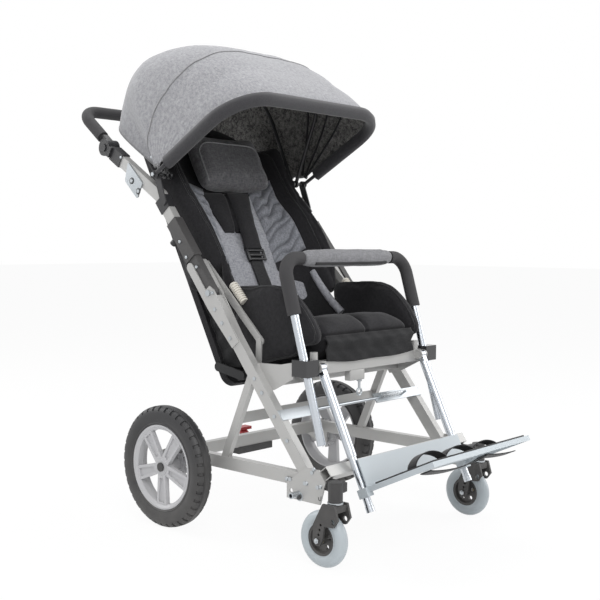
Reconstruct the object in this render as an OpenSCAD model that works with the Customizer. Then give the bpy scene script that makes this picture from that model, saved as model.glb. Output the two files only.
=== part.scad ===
// Special needs buggy: a folding push chair frame with a padded seat, canopy, bumper bar and footrest.
// Sizes are in millimetres. +Z is up, the front of the buggy points to -Y and its left side to +X.

/* [Wheels] */
// Diameter of the rear wheels over the tyre
rear_wheel_d = 300; // [280:1:316]
// Width of the rear tyres
rear_tyre_w = 48; // [40:1:54]
// Diameter of the rear rims under the tyre
rear_rim_d = 208; // [190:1:220]
// Diameter of the rear axles
rear_axle_d = 12; // [10:0.5:16]
// Number of spokes in a rear rim
spoke_count = 5; // [4:1:7]
// Diameter of the caster wheels over the tyre
caster_d = 125; // [112:1:128]
// Width of the caster tyres
caster_tyre_w = 30; // [24:1:34]
// Distance from the rear axle forward to the caster stems
wheel_base = 519; // [510:1:560]
// Distance from a caster stem back to the axle of its wheel
caster_trail = 31; // [24:1:36]
// Diameter of the caster stems
stem_d = 12; // [10:0.5:14]

/* [Frame] */
// Width of the frame tubes across the buggy
tube_w = 20; // [18:1:22]
// Height of the frame tubes
tube_h = 30; // [26:1:32]
// Wall of the frame tubes
tube_wall = 2; // [1.5:0.5:3]
// Height of the middle of the bottom rails above the floor
rail_z = 175; // [170:1:185]
// Distance from the rear axle forward to the front ends of the bottom rails
rail_front = 445; // [435:1:450]
// Distance from the rear axle forward to where the main tubes meet the rails
main_foot = 428; // [415:1:432]
// Slope of the main tubes
main_slope = 51.4; // [50:0.2:53]
// Length of the main tubes from the rails to the fold pivot
main_len = 517; // [505:1:530]
// Thickness of the flat side plates
plate_t = 4; // [3:0.5:5]
// Depth of the flat bar between the rear struts
strut_bar_h = 25; // [15:1:30]

/* [Fold and handle] */
// Diameter of the fold pivot bolts
fold_pin_d = 10; // [8:0.5:12]
// Length of the fork prongs past the fold pivot
prong_len = 100; // [70:1:101]
// Distance from the fold pivot to the bend of the push tubes
push_bend = 305; // [295:1:330]
// Length of the push tubes from the bend to the handle hinge
push_upper_len = 251; // [235:1:280]
// Slope of the push tubes above the bend
push_upper_slope = 32; // [28:0.5:38]
// Diameter of the handle tube
handle_d = 22; // [20:0.5:25]
// Diameter of the foam grip on the handle
grip_d = 32; // [29:0.5:36]
// Length of the handle from its hinge to its cross bar
handle_len = 182; // [160:1:220]
// Slope of the handle arms at rest
handle_slope = 38; // [30:1:45]

/* [Canopy] */
// Reach of the front bow from its pivot
front_bow_reach = 346; // [330:1:370]
// Height of the top of the canopy above its pivot
canopy_top = 344; // [336:1:360]
// Angle of the front bow above level
front_bow_angle = 29.5; // [24:0.5:34]
// Angle of the middle bow above level
middle_bow_angle = 68; // [62:1:74]
// Angle of the rear bow above level
rear_bow_angle = 114; // [110:1:120]
// Diameter of the padded front bow
front_bow_d = 26; // [20:0.5:27]
// Diameter of the two thin bows
thin_bow_d = 10; // [8:0.5:12]
// Height of the canopy pivot above the bend of the push tubes
canopy_rise = 53; // [48:1:65]

/* [Seat] */
// Tilt of the seat, front edge up
seat_tilt = 10.8; // [8:0.2:12]
// Width of the seat cushion, which sets the width of the whole buggy
cushion_w = 344; // [280:1:420]
// Depth of the seat cushion from back to front
cushion_depth = 322; // [295:1:325]
// Thickness of the seat cushion
cushion_t = 110; // [80:1:112]
// Thickness of the seat board
board_t = 22; // [16:1:24]
// Thickness of a hip guard
guard_t = 28; // [20:1:30]
// Lean of the backrest from upright
back_lean = 28; // [26:0.5:32]
// Length of the back panel
back_len = 697; // [670:1:720]
// Thickness of the back panel
panel_t = 20; // [16:1:22]
// Depth of the backrest's side wings in front of the panel
wing_t = 172; // [120:1:176]
// Thickness of the backrest pad in the middle
pad_t = 42; // [30:1:55]
// Width of the head cushion
head_w = 250; // [200:1:270]
// Thickness of the head cushion
head_t = 66; // [50:1:80]

/* [Bumper bar] */
// Diameter of the bumper tube
bumper_d = 20; // [18:0.5:22]
// Diameter of the foam on the bumper legs
bumper_foam_d = 32; // [28:0.5:33]
// Diameter of the padded cover on the bumper bar
bumper_cover_d = 46; // [40:0.5:52]
// Lean of the bumper legs from upright
bumper_lean = 16.3; // [14:0.1:18]
// Length of the bumper legs above their clamps
bumper_up = 256; // [240:1:280]
// Length of the bumper legs below their clamps
bumper_down = 177; // [150:1:185]

/* [Footrest] */
// Diameter of the outer footrest tubes
footrest_d = 22; // [20:0.5:24]
// Lean of the footrest tubes from upright
footrest_lean = 25.7; // [25:0.1:30]
// Length of the footrest from its hinge to the tips of the inner tubes
footrest_len = 338; // [280:1:345]
// Depth of the foot plate
foot_depth = 192; // [170:1:210]
// Thickness of the foot plate's sheet
sheet_t = 3; // [2:0.5:4]

/* [Cross rod spring] */
// Mean diameter of the spring's curls
spring_d = 11; // [9:0.5:13]
// Diameter of the spring's wire
spring_wire = 2; // [1.5:0.1:2.2]
// Number of curls in the spring
spring_curls = 12; // [8:1:14]
// Length of the spring's curls
spring_len = 88; // [70:1:95]

/* [Clearances] */
// Radial clearance of a shaft that turns or slides in its hole
running_gap = 0.05; // [0.03:0.01:0.1]
// Gap between parts that pass each other
part_gap = 0.4; // [0.3:0.1:0.6]

/* [Hidden] */
$fn = 48;

// Widths that follow the seat cushion: side frames, wheels, canopy, back panel, seat board and footrest
frame_track = cushion_w + 172;
rear_track = frame_track + 113;
caster_track = frame_track + 51;
canopy_half = frame_track / 2 + 21;
back_w = cushion_w + 32;
board_w = cushion_w + 36;
bumper_w = frame_track - 54;
footrest_w = cushion_w + 46;
foot_w = footrest_w + 6;

// Foot plate and outer tubes along the footrest, from its hinge
foot_drop = footrest_len - 53;
footrest_outer = footrest_len - 126;

// Side frame: points are [y, z] with y measured from the rear axle, front negative
frame_x = frame_track / 2;
inner_x = frame_x - tube_w / 2;
outer_x = frame_x + tube_w / 2;
rail_top = rail_z + tube_h / 2;
rail_bottom = rail_z - tube_h / 2;
rail_back = 25;
axle_z = rear_wheel_d / 2;
main_dir = [cos(main_slope), sin(main_slope)];
main_normal = [-sin(main_slope), cos(main_slope)];
main_start = [-main_foot, rail_z];
function main_at(s, b = 0) = main_start + s * main_dir + b * main_normal;
fold_pivot = main_at(main_len);
tongue_r = tube_h / 2;
main_end_gap = 2;

// Rear cross tube and the foot brake on it
rear_tube_y = 5;
brake_shaft_d = 10;
brake_at = [58, rail_z - 15];
brake_ring_r = 42;
brake_ring_t = 6;
brake_pedal_x = [16, 40];
brake_housing_x = [-72, 54];
brake_ear_w = 10;

// Front cross tube, a square tube turned to the slope of the main tubes
front_tube = 25;
front_tube_at = [-(main_foot + 48), rail_z + 23];

// Rear struts from the bottom rails up to the main tubes
strut_w = 14;
strut_h = 20;
strut_foot = [-147, rail_top - strut_h];
strut_head = main_at(289);
strut_bar_t = 6;
strut_bar_at = strut_foot + 0.5 * (strut_head - strut_foot);

// Casters
caster_x = caster_track / 2;
caster_r = caster_d / 2;
caster_gap = 3;
fork_arm_t = 6;
fork_half = caster_tyre_w / 2 + caster_gap + fork_arm_t;
crown_bottom = caster_d + caster_gap;
crown_t = 17;
crown_top = crown_bottom + crown_t;
crown_d = 34.5;
washer_t = 3;
housing_bottom = crown_top + washer_t + 0.6;
housing_top = rail_top + 2;
housing_d = 32;
stem_top = housing_top - 5;
caster_hub_r = 36;
caster_axle_d = 8;
caster_axle = [-wheel_base + caster_trail, caster_r];

// Rear wheels
wheel_x = rear_track / 2;
rim_half = 20;
rim_depth = 12;
hub_d = 40;
hub_out = 17;
cap_d = 22;
cap_t = 3.5;
axle_plate_t = 6;
hub_in = wheel_x - outer_x - axle_plate_t - 1.5;
hub_step = 6;

// Seat frame and the clamps of the bumper bar
clamp_at = [-384, rail_z + 244];
clamp_w = 44;
clamp_depth = 44;
clamp_h = 38;
bumper_x = bumper_w / 2;
clamp_inner = bumper_x - clamp_w / 2;
clamp_rear = clamp_at[0] + clamp_depth / 2;
seat_tube_at = clamp_at + [6, -4];
seat_tube_top = seat_tube_at[1] + tube_h / 2;
seat_rear = [-80, seat_tube_top - 55];
function seat_at(s, t) =
    seat_rear + [t * sin(seat_tilt) - s * cos(seat_tilt), s * sin(seat_tilt) + t * cos(seat_tilt)];
board_start = 40;
board_len = (seat_rear[0] - (seat_tube_at[0] + tube_w / 2) - board_t * sin(seat_tilt) - 0.5) / cos(seat_tilt);
cross_tube = 24;
cross_tube_s = 195;
post_d = 18;
post_h = 22;
post_x = cushion_w / 2 + 24;

// Backrest hinge
back_foot = seat_rear + [13, -25];
function back_at(u, n) =
    back_foot + [u * sin(back_lean) - n * cos(back_lean), u * cos(back_lean) + n * sin(back_lean)];
back_hinge_u = 40;
back_hinge = back_at(back_hinge_u, panel_t / 2);
back_pin_d = 10;
lug_t = 6;
pad_start = 116;
panel_low = 12;
pad_end = back_len - panel_low - 12;

// Fold joint and push tubes
bracket_t = 3;
prong_w = 22;
inner_prong_w = 12;
sleeve_start = 104;
sleeve_end = 222;
sleeve_wall = 3;
push_start = 112;
bend_at = main_at(main_len + push_bend);
hinge_at = bend_at + push_upper_len * [cos(push_upper_slope), sin(push_upper_slope)];
knob_a = 182;
knob_stem_d = 8;
knob_d = 17;
knob_boss = 7;

// Handle hinge
hinge_disc_d = 44;
hinge_pin_d = 10;
socket_len = 46;
socket_gap = 28;
socket_w = 18;
knuckle_w = 19;
button_d = 20;
button_out = 3;
button_travel = 4;

// Canopy
canopy_pivot = bend_at + [0, canopy_rise];
canopy_pin_d = 8;
bow_hub_d = 20;
bow_hub_w = 6;
front_bow_bend = 112;
thin_bow_bend = 150;
middle_bow_half = canopy_half - 34;
rear_bow_half = canopy_half - 48;
fabric_t = 3;

// Footrest
footrest_x = footrest_w / 2;
foot_hinge = [seat_tube_at[0] - tube_w / 2 - 12, clamp_at[1] - 1];
foot_pin_d = 8;
eye_d = 20;
eye_w = 16;
lug_plate_t = 3;
foot_wall = 2;
inner_d = footrest_d - 2 * foot_wall - 2 * running_gap;
inner_start = 120;
calf_top = 221;
calf_n = footrest_d / 2 + 2;
flange_h = 12;

// The origin lies on the floor under the middle of the buggy's length
front_most = foot_hinge - (foot_drop + flange_h) * [sin(footrest_lean), cos(footrest_lean)]
    + (calf_n + foot_depth) * [-cos(footrest_lean), sin(footrest_lean)];
rear_most = hinge_at[0] + handle_len * cos(handle_slope) + grip_d / 2;
shift_y = -(front_most[0] + rear_most) / 2;

module at_origin() {
    translate([0, shift_y, 0])
        children();
}

module both_sides() {
    children();
    mirror([1, 0, 0])
        children();
}

// Left is +X, right is its mirror image
module on_side(left) {
    if (left)
        children();
    else
        mirror([1, 0, 0])
            children();
}

// Moves to a [y, z] point and turns local +Y up by an angle
module at(point, angle = 0) {
    translate([0, point[0], point[1]])
        rotate([angle, 0, 0])
            children();
}

// Box from [x0, y0, z0] to [x1, y1, z1]
module box(low, high) {
    translate(low)
        cube(high - low);
}

// Square-edged tube along local Y
module box_tube(x, y0, y1, w, h, wall) {
    difference() {
        box([x - w / 2, y0, -h / 2], [x + w / 2, y1, h / 2]);
        box([x - w / 2 + wall, y0 - 1, -h / 2 + wall], [x + w / 2 - wall, y1 + 1, h / 2 - wall]);
    }
}

// Round bar across the buggy at a [y, z] point
module cross_rod(point, x0, x1, d) {
    translate([x0, point[0], point[1]])
        rotate([0, 90, 0])
            cylinder(d = d, h = x1 - x0);
}

// Flat plate cut to an outline of [y, z] points
module side_plate(outline, x, t) {
    translate([x, 0, 0])
        rotate([90, 0, 90])
            linear_extrude(t)
                polygon(outline);
}

// Half circle of [y, z] points round a centre
function half_round(centre, w, from) = [for (a = [from:15:from + 180]) centre + w / 2 * [cos(a), sin(a)]];

// Flat link with round ends between two [y, z] points
module link(p, q, x, t, w) {
    v = q - p;
    turn = atan2(v[1], v[0]);
    side_plate(concat(half_round(q, w, turn - 90), half_round(p, w, turn + 90)), x, t);
}

// U of round bar: the cross bar lies on the X axis and the legs point to -Z
module u_frame(half, leg, bend, d) {
    both_sides() {
        translate([half, 0, -leg])
            cylinder(d = d, h = leg - bend);
        translate([half - bend, 0, -bend])
            rotate([90, 0, 0])
                rotate_extrude(angle = 90)
                    translate([bend, 0])
                        circle(d = d);
    }
    translate([bend - half, 0, 0])
        rotate([0, 90, 0])
            cylinder(d = d, h = 2 * (half - bend));
}

// Closed solid through rings of points that all run round the same way
module loft(rings) {
    n = len(rings);
    m = len(rings[0]);
    ends = [for (r = [rings[0], rings[n - 1]]) [for (k = [0:2]) sum_of([for (p = r) p[k]]) / m]];
    points = concat([for (r = rings) each r], ends);
    walls = [
        for (i = [0:n - 2], j = [0:m - 1])
            each [
                [i * m + j, i * m + (j + 1) % m, (i + 1) * m + (j + 1) % m],
                [i * m + j, (i + 1) * m + (j + 1) % m, (i + 1) * m + j]
            ]
    ];
    first = [for (j = [0:m - 1]) [n * m, (j + 1) % m, j]];
    last = [for (j = [0:m - 1]) [n * m + 1, (n - 1) * m + j, (n - 1) * m + (j + 1) % m]];
    polyhedron(points, concat(walls, first, last), convexity = 6);
}

// Rings at shares from -1 to 0 and at the same shares mirrored to the other half
function mirrored_rings(shares, ring) =
    [for (x = concat(shares, [for (k = [len(shares) - 2:-1:0]) -shares[k]])) ring(x)];

// Closed thin solid between an outer and an inner grid of points
module thin_sheet(outer, inner) {
    n = len(outer);
    m = len(outer[0]);
    back = n * m;
    points = concat([for (r = outer) each r], [for (r = inner) each r]);
    skins = [
        for (i = [0:n - 2], j = [0:m - 2])
            let (a = i * m + j, b = a + 1, c = a + m + 1, d = a + m)
            each [[a, b, c], [a, c, d], [back + a, back + c, back + b], [back + a, back + d, back + c]]
    ];
    rim = concat(
        [for (j = [0:m - 1]) j], [for (i = [1:n - 1]) i * m + m - 1],
        [for (j = [m - 2:-1:0]) (n - 1) * m + j], [for (i = [n - 2:-1:1]) i * m]
    );
    edges = [
        for (k = [0:len(rim) - 1])
            let (a = rim[k], b = rim[(k + 1) % len(rim)])
            each [[b, a, back + a], [b, back + a, back + b]]
    ];
    polyhedron(points, concat(skins, edges), convexity = 6);
}

function sum_of(values, i = 0) = i == len(values) ? 0 : values[i] + sum_of(values, i + 1);

// Superellipse: a number from -1 to 1 squared off by its power
function squared(v, power) = sign(v) * pow(abs(v), 2 / power);

// How full a pad is at a share of its half width, from 1 in the middle down to the seam at its edge
function fullness(share, power, seam) = max(seam, pow(1 - pow(abs(share), power), 1 / power));

// Smooth closed outline through a few corner points
function smooth_outline(corners, steps) = [
    for (i = [0:len(corners) - 1], k = [0:steps - 1])
        let (
            n = len(corners),
            a = corners[(i + n - 1) % n],
            b = corners[i],
            c = corners[(i + 1) % n],
            d = corners[(i + 2) % n],
            t = k / steps
        )
        0.5 * (2 * b + t * (c - a) + t * t * (2 * a - 5 * b + 4 * c - d) + pow(t, 3) * (3 * b - a - 3 * c + d))
];

// Bottom rails and main tubes

module bottom_rail(left) {
    color("#c9c6c1")
        on_side(left)
            translate([0, 0, rail_z])
                box_tube(frame_x, -rail_front, rail_back, tube_w, tube_h, tube_wall);
}

module main_tube(left) {
    color("#cfccc7")
        on_side(left)
            difference() {
                at(main_start, main_slope)
                    box_tube(frame_x, -tube_h, main_len - tongue_r - main_end_gap, tube_w, tube_h, tube_wall);
                box([inner_x - 1, -main_foot - 60, 0], [outer_x + 1, -main_foot + 60, rail_top]);
            }
}

// Cross tubes and struts

module rear_cross_tube() {
    color("#c9c6c1")
        translate([0, rear_tube_y, rail_z])
            rotate([0, 0, -90])
                box_tube(0, -inner_x, inner_x, tube_w, tube_h, tube_wall);
}

module front_cross_tube() {
    color("#c9c6c1")
        at(front_tube_at, main_slope)
            rotate([0, 0, -90])
                box_tube(0, -outer_x, outer_x, front_tube, front_tube, tube_wall);
}

module rear_struts() {
    strut = strut_head - strut_foot;
    color("#cfccc7") {
        both_sides()
            difference() {
                at(strut_foot, atan2(strut[1], strut[0]))
                    box_tube(frame_x, 0, norm(strut), strut_w, strut_h, tube_wall);
                at(main_start, main_slope)
                    box([0, -tube_h, -tube_h / 2], [wheel_x, main_len, tube_h]);
                box([0, -rail_front, 0], [wheel_x, rail_back, rail_top]);
            }
        at(strut_bar_at)
            box(
                [strut_w / 2 - frame_x, -strut_bar_t / 2, -strut_bar_h / 2],
                [frame_x - strut_w / 2, strut_bar_t / 2, strut_bar_h / 2]
            );
    }
}

// Riveted plates at the front corners and the plates that carry the rear axles

front_plate_rear = 366;
front_plate_low = rail_z - 46;
bush_at = [-402, rail_z - 32];
bush_d = 14;
bush_bore = 9;
bush_len = 26;

module front_plate() {
    difference() {
        side_plate(
            [
                [-front_plate_rear, rail_z - 11], [-front_plate_rear, front_plate_low],
                [-main_foot - 37, front_plate_low],
                [-main_foot - 52, rail_z + 5], [-main_foot - 33, rail_z + 30], [-main_foot + 6, rail_z + 30]
            ],
            outer_x, plate_t
        );
        cross_rod([-front_plate_rear - 13, rail_z - 28], outer_x - 1, outer_x + plate_t + 1, 10);
    }
}

module axle_plate() {
    difference() {
        side_plate(
            [
                [-24, rail_top], [rail_back, rail_top], [brake_at[0] + 14, brake_at[1] + 12],
                [brake_at[0] + 14, brake_at[1] - 10], [20, axle_z - 24], [-20, axle_z - 24]
            ],
            outer_x, axle_plate_t
        );
        cross_rod([0, axle_z], outer_x - 1, outer_x + axle_plate_t + 1, rear_axle_d);
        cross_rod(brake_at, outer_x - 1, outer_x + axle_plate_t + 1, brake_shaft_d + 2 * running_gap);
    }
}

module frame_plates() {
    color("#c4c2be")
        both_sides() {
            front_plate();
            axle_plate();
        }
}

module rear_axles() {
    cap_at = wheel_x + hub_out + part_gap;
    color("#26262a")
        both_sides() {
            cross_rod([0, axle_z], outer_x, cap_at, rear_axle_d);
            cross_rod([0, axle_z], cap_at, cap_at + cap_t, cap_d);
        }
}

// Caster housings: a barrel for the stem and a tongue that plugs the rail's front end

module caster_housing() {
    stem_y = -wheel_base;
    difference() {
        union() {
            translate([caster_x, stem_y, housing_bottom])
                cylinder(d = housing_d, h = housing_top - housing_bottom);
            box([inner_x + 6, stem_y - 8, rail_z - 8], [caster_x, stem_y + 22, rail_z + 12]);
            box([inner_x + 2, stem_y, rail_z - 12], [outer_x, -rail_front, rail_z + 12]);
        }
        at(front_tube_at, main_slope)
            box([0, -front_tube / 2, -front_tube / 2], [wheel_x, front_tube / 2, front_tube / 2]);
        translate([caster_x, stem_y, housing_bottom - 1])
            cylinder(d = stem_d + 2 * running_gap, h = stem_top + 1 - housing_bottom + 1);
    }
}

module caster_housings() {
    color("#1f1f22")
        both_sides()
            caster_housing();
}

// Fold joint: fork brackets on the lower frame

module fork_cheek(x) {
    prong_mid = [prong_len - prong_w / 2, -4 - prong_w / 2];
    at(fold_pivot, main_slope)
        difference() {
            side_plate(
                concat(
                    [
                        [-150, -tube_h / 2], [-150, tube_h / 2 - 4],
                        [-40, tube_h / 2 + 4], [-4, tube_h / 2 + 4],
                        [12, tube_h / 2 - 2], [12, -4]
                    ],
                    [for (a = [90:-15:-90]) prong_mid + prong_w / 2 * [cos(a), sin(a)]],
                    [[-30, -4 - prong_w]]
                ),
                x, bracket_t
            );
            cross_rod([0, 0], x - 1, x + bracket_t + 1, fold_pin_d);
        }
}

module inner_prong() {
    at(fold_pivot, main_slope)
        difference() {
            link([-6, 2], [prong_len - 10, 2], inner_x - bracket_t - inner_prong_w, inner_prong_w, 20);
            cross_rod([0, 0], inner_x - 60, inner_x, fold_pin_d);
        }
}

module fold_brackets() {
    color("#cfccc7")
        both_sides() {
            fork_cheek(outer_x);
            fork_cheek(inner_x - bracket_t);
            inner_prong();
        }
}

// Bolts, rivets and tie-down bushes of the lower frame

rivet_d = 9;
rivet_t = 2;

module rivet(point, x) {
    cross_rod(point, x, x + rivet_t, rivet_d);
}

module frame_bolts() {
    plate_x = outer_x + plate_t;
    prong_x = inner_x - bracket_t - inner_prong_w;
    color("#d9dadc")
        both_sides() {
            for (s = [232, 271, 168, 104])
                rivet(main_at(s), outer_x);
            for (p = [[-376, rail_z - 3], [-421, rail_z - 5], [-458, rail_z - 8], [-442, rail_z + 22]])
                rivet(p, plate_x);
            for (s = [-128, -84, -44])
                rivet(main_at(main_len + s, -6), outer_x + bracket_t);
            cross_rod(fold_pivot, prong_x, outer_x + bracket_t, fold_pin_d);
            cross_rod(fold_pivot, outer_x + bracket_t, outer_x + bracket_t + 4, fold_pin_d + 5);
            difference() {
                cross_rod(bush_at, plate_x, plate_x + bush_len, bush_d);
                cross_rod(bush_at, plate_x + 2, plate_x + bush_len + 1, bush_bore);
            }
        }
}

// Flat stays with short links between the fork's inner prong and the seat plates

module seat_stays() {
    stay_t = 5;
    stay_x = inner_x - bracket_t - inner_prong_w - 2 - stay_t;
    top = main_at(main_len + prong_len - 14, 2);
    knee = clamp_at + [144, 51];
    low = knee + [2, -58];
    color("#c9c6c1")
        both_sides() {
            link(top, knee, stay_x, stay_t, 18);
            link(knee, low, stay_x + stay_t, stay_t, 16);
            cross_rod(top, stay_x + stay_t, stay_x + stay_t + 2, 12);
            cross_rod(low, stay_x + 2 * stay_t, inner_x - plate_t, 12);
        }
}

// Seat frame: side plates on the main tubes, front tube with footrest lugs, and a tube under the board

module seat_side_plates() {
    y0 = clamp_rear;
    z0 = clamp_at[1];
    color("#c4c2be")
        both_sides()
            side_plate(
                [
                    [y0, z0 + 12], [y0, z0 - 25], [y0 + 62, z0 - 57], [y0 + 100, z0 - 67],
                    [y0 + 148, z0 + 8], [y0 + 112, z0 + 2], [y0 + 40, z0 + 4]
                ],
                inner_x - plate_t, plate_t
            );
}

module hinge_lug(x) {
    tube_front = seat_tube_at[0] - tube_w / 2;
    difference() {
        side_plate(
            concat(
                half_round(foot_hinge, 22, 90),
                [[tube_front, foot_hinge[1] - 11], [tube_front, foot_hinge[1] + 11]]
            ),
            x, lug_plate_t
        );
        cross_rod(foot_hinge, x - 1, x + lug_plate_t + 1, foot_pin_d);
    }
}

module seat_tubes() {
    lug_out = eye_w / 2 + 0.5;
    color("#cfccc7") {
        at(seat_tube_at)
            rotate([0, 0, -90])
                box_tube(0, -clamp_inner, clamp_inner, tube_w, tube_h, tube_wall);
        both_sides() {
            hinge_lug(footrest_x - lug_out - lug_plate_t);
            hinge_lug(footrest_x + lug_out);
            cross_rod(
                foot_hinge, footrest_x - lug_out - lug_plate_t, footrest_x + lug_out + lug_plate_t, foot_pin_d
            );
            translate([post_x, seat_tube_at[0], seat_tube_top])
                cylinder(d = post_d, h = post_h);
        }
        at(seat_rear, -seat_tilt)
            translate([0, -cross_tube_s, -board_t - cross_tube / 2])
                rotate([0, 0, -90])
                    box_tube(0, plate_t - inner_x, inner_x - plate_t, tube_w, cross_tube, tube_wall);
    }
}

module back_lug() {
    link(seat_at(60, -board_t / 2), back_hinge, board_w / 2, lug_t, 22);
    cross_rod(back_hinge, back_w / 2 - 12, board_w / 2, back_pin_d);
}

module seat_board() {
    color("#1d1d20") {
        at(seat_rear, -seat_tilt)
            box([-board_w / 2, -board_len, -board_t], [board_w / 2, -board_start, 0]);
        both_sides()
            back_lug();
    }
}

// Clamps that hold the legs of the bumper bar

module bumper_clamps() {
    color("#2a2a2d")
        both_sides()
            difference() {
                at(clamp_at)
                    box(
                        [bumper_x - clamp_w / 2, -clamp_depth / 2, -clamp_h / 2],
                        [bumper_x + clamp_w / 2, clamp_depth / 2, clamp_h / 2]
                    );
                at(clamp_at, -bumper_lean)
                    translate([bumper_x, 0, -clamp_h])
                        cylinder(d = bumper_d + 2 * running_gap, h = 2 * clamp_h);
            }
}

// Cross rod between the main tubes with its two plates, and the tension spring beside it

lock_s = 160;
lock_plate_t = 3;
lock_plate_h = 26;
lock_rod_d = 8;
lock_right_end = -150;
lock_left_end = 78;
lock_front = tube_h / 2 + lock_plate_t;
spring_x = 100;
spring_eye = 8;
spring_out = lock_front + spring_d + spring_wire;

module lock_bar() {
    half = lock_plate_h / 2;
    peg = 5;
    color("#b9bfc4")
        at(main_at(lock_s), main_slope) {
            box([-outer_x, -half, tube_h / 2], [lock_right_end, half, lock_front]);
            box([lock_left_end, -half, tube_h / 2], [outer_x, half, lock_front]);
            translate([0, 0, lock_front - 1])
                cross_rod([0, 0], lock_right_end - 12, lock_left_end + 12, lock_rod_d);
            for (x = [spring_x - spring_eye, spring_x + spring_len + spring_eye])
                translate([x - peg / 2, 0, lock_front - 1])
                    box([0, -peg / 2, 0], [peg, peg / 2, spring_out - lock_front + spring_wire]);
        }
}

spring_sides = 6;
spring_steps = 8;

// Middle of the spring's wire, from a straight end through the curls to the other end
function spring_point(k) =
    let (
        turn = k / spring_steps,
        a = 360 * turn
    )
    [spring_x + spring_len * turn / spring_curls, spring_d / 2 * sin(a), spring_d / 2 * (cos(a) - 1)];

spring_rings = spring_curls * spring_steps;
spring_mid = concat(
    [[spring_x - spring_eye + 2.5 + part_gap, 0, 0], [spring_x - spring_wire, 0, 0]],
    [for (k = [0:spring_rings]) spring_point(k)],
    [[spring_x + spring_len + spring_wire, 0, 0], [spring_x + spring_len + spring_eye - 2.5 - part_gap, 0, 0]]
);

// Least gap between one curl of the wire and the next
spring_gap = min([
    for (i = [0:spring_rings], j = [i + spring_steps / 2:spring_rings])
        norm(spring_point(i) - spring_point(j)) - spring_wire
]);
echo(spring_gap = spring_gap);

function tube_ring(path, i, d, sides) =
    let (
        ahead = path[min(i + 1, len(path) - 1)] - path[max(i - 1, 0)],
        along = ahead / norm(ahead),
        side = cross(along, [0, 0.95, 0.31]),
        u = side / norm(side),
        v = cross(along, u)
    )
    [for (k = [0:sides - 1]) path[i] + d / 2 * (cos(360 * k / sides) * u + sin(360 * k / sides) * v)];

module lock_spring() {
    color("#d5d8da")
        at(main_at(lock_s), main_slope)
            translate([0, 0, spring_out])
                loft([for (i = [0:len(spring_mid) - 1]) tube_ring(spring_mid, i, spring_wire, spring_sides)]);
}

// Foot brake: housing under the rear cross tube, pedal with its pad, and the shaft with a pawl at each wheel

module brake_housing() {
    color("#1d1d20")
        difference() {
            union() {
                box([brake_housing_x[0], -8, rail_bottom - 18], [brake_housing_x[1], 40, rail_bottom]);
                for (x = [brake_housing_x[0], brake_housing_x[1] - brake_ear_w])
                    link([32, brake_at[1] - 8], brake_at, x, brake_ear_w, 24);
            }
            cross_rod(brake_at, -inner_x, inner_x, brake_shaft_d + 2 * running_gap);
            translate([0, rear_tube_y, 0])
                box([-inner_x, -tube_w / 2, rail_bottom], [inner_x, tube_w / 2, rail_top]);
        }
}

module brake_pedal() {
    pad_at = brake_at + [26, 22];
    color("#c8202c")
        difference() {
            union() {
                cross_rod(brake_at, brake_pedal_x[0], brake_pedal_x[1], 20);
                link(brake_at, pad_at, brake_pedal_x[0], brake_pedal_x[1] - brake_pedal_x[0], 10);
                translate([0, pad_at[0], pad_at[1]])
                    box([brake_pedal_x[0] - 13, -13, 1], [brake_pedal_x[1] + 13, 13, 9]);
            }
            cross_rod(brake_at, brake_pedal_x[0] - 1, brake_pedal_x[1] + 1, brake_shaft_d);
        }
}

module brake_shaft() {
    pawl_x = wheel_x - hub_in + 4;
    pawl_w = brake_ring_t;
    color("#9a9da1") {
        cross_rod(brake_at, -pawl_x, pawl_x, brake_shaft_d);
        both_sides()
            translate([pawl_x, brake_at[0], brake_at[1]]) {
                box([0, -12, -6], [pawl_w, 6, 6]);
            }
    }
}

// Seat cushion: a front roll sewn down the middle, with drawn-in sides

cushion_front = 325;

function cushion_ring(share) =
    let (
        full = fullness(share, 5, 0.62),
        sewn = 1 - 0.14 * exp(-pow(share * cushion_w / 22, 2)),
        half_s = cushion_depth / 2 * (0.94 + 0.06 * full),
        mid_s = cushion_front - half_s,
        steps = 20
    )
    [
        for (k = [0:steps - 1])
            let (
                a = 360 * k / steps + 9,
                s = mid_s + half_s * squared(cos(a), 5),
                crown = 1 - 0.1 * pow((s - mid_s) / half_s, 2),
                high = 0.5 + 0.5 * squared(sin(a), 4.5),
                t = part_gap + high * cushion_t * full * crown * (high > 0.5 ? sewn : 1),
                p = seat_at(s, t)
            )
            [share * cushion_w / 2, p[0], p[1]]
    ];

module seat_cushion() {
    color("#2b2b2f")
        loft(mirrored_rings([-1, -0.97, -0.9, -0.7, -0.4, -0.15, -0.06, 0], function (x) cushion_ring(x)));
}

// Hip guards: upright side pads with a waved top edge

guard_inner = cushion_w / 2 + 6;

guard_corners = [
    seat_at(70, 211), seat_at(128, 209), seat_at(206, 201), seat_at(262, 178), seat_at(306, 130),
    seat_at(334, 72), seat_at(332, 40), seat_at(302, 29),
    seat_at(276, 26), seat_at(258, 6.9), seat_at(170, 3.9),
    seat_at(84, 3.9), seat_at(62, 60), seat_at(56, 160)
];
guard_middle = seat_at(200, 110);

function guard_ring(share) =
    let (
        inset = 0.9 + 0.1 * fullness(2 * share - 1, 3, 0),
        bulge = guard_t * share
    )
    [
        for (p = smooth_outline(guard_corners, 2))
            let (q = guard_middle + inset * (p - guard_middle) - [0, 0.2])
            [guard_inner + bulge, q[0], q[1]]
    ];

module hip_guard(left) {
    color("#242428")
        on_side(left)
            loft([for (share = [1, 0.85, 0.5, 0.15, 0]) guard_ring(share)]);
}

// Rear wheels: tyre and spoked rim turn on the axle

module around_axle(x, point) {
    translate([x, point[0], point[1]])
        rotate([0, 90, 0])
            children();
}

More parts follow.
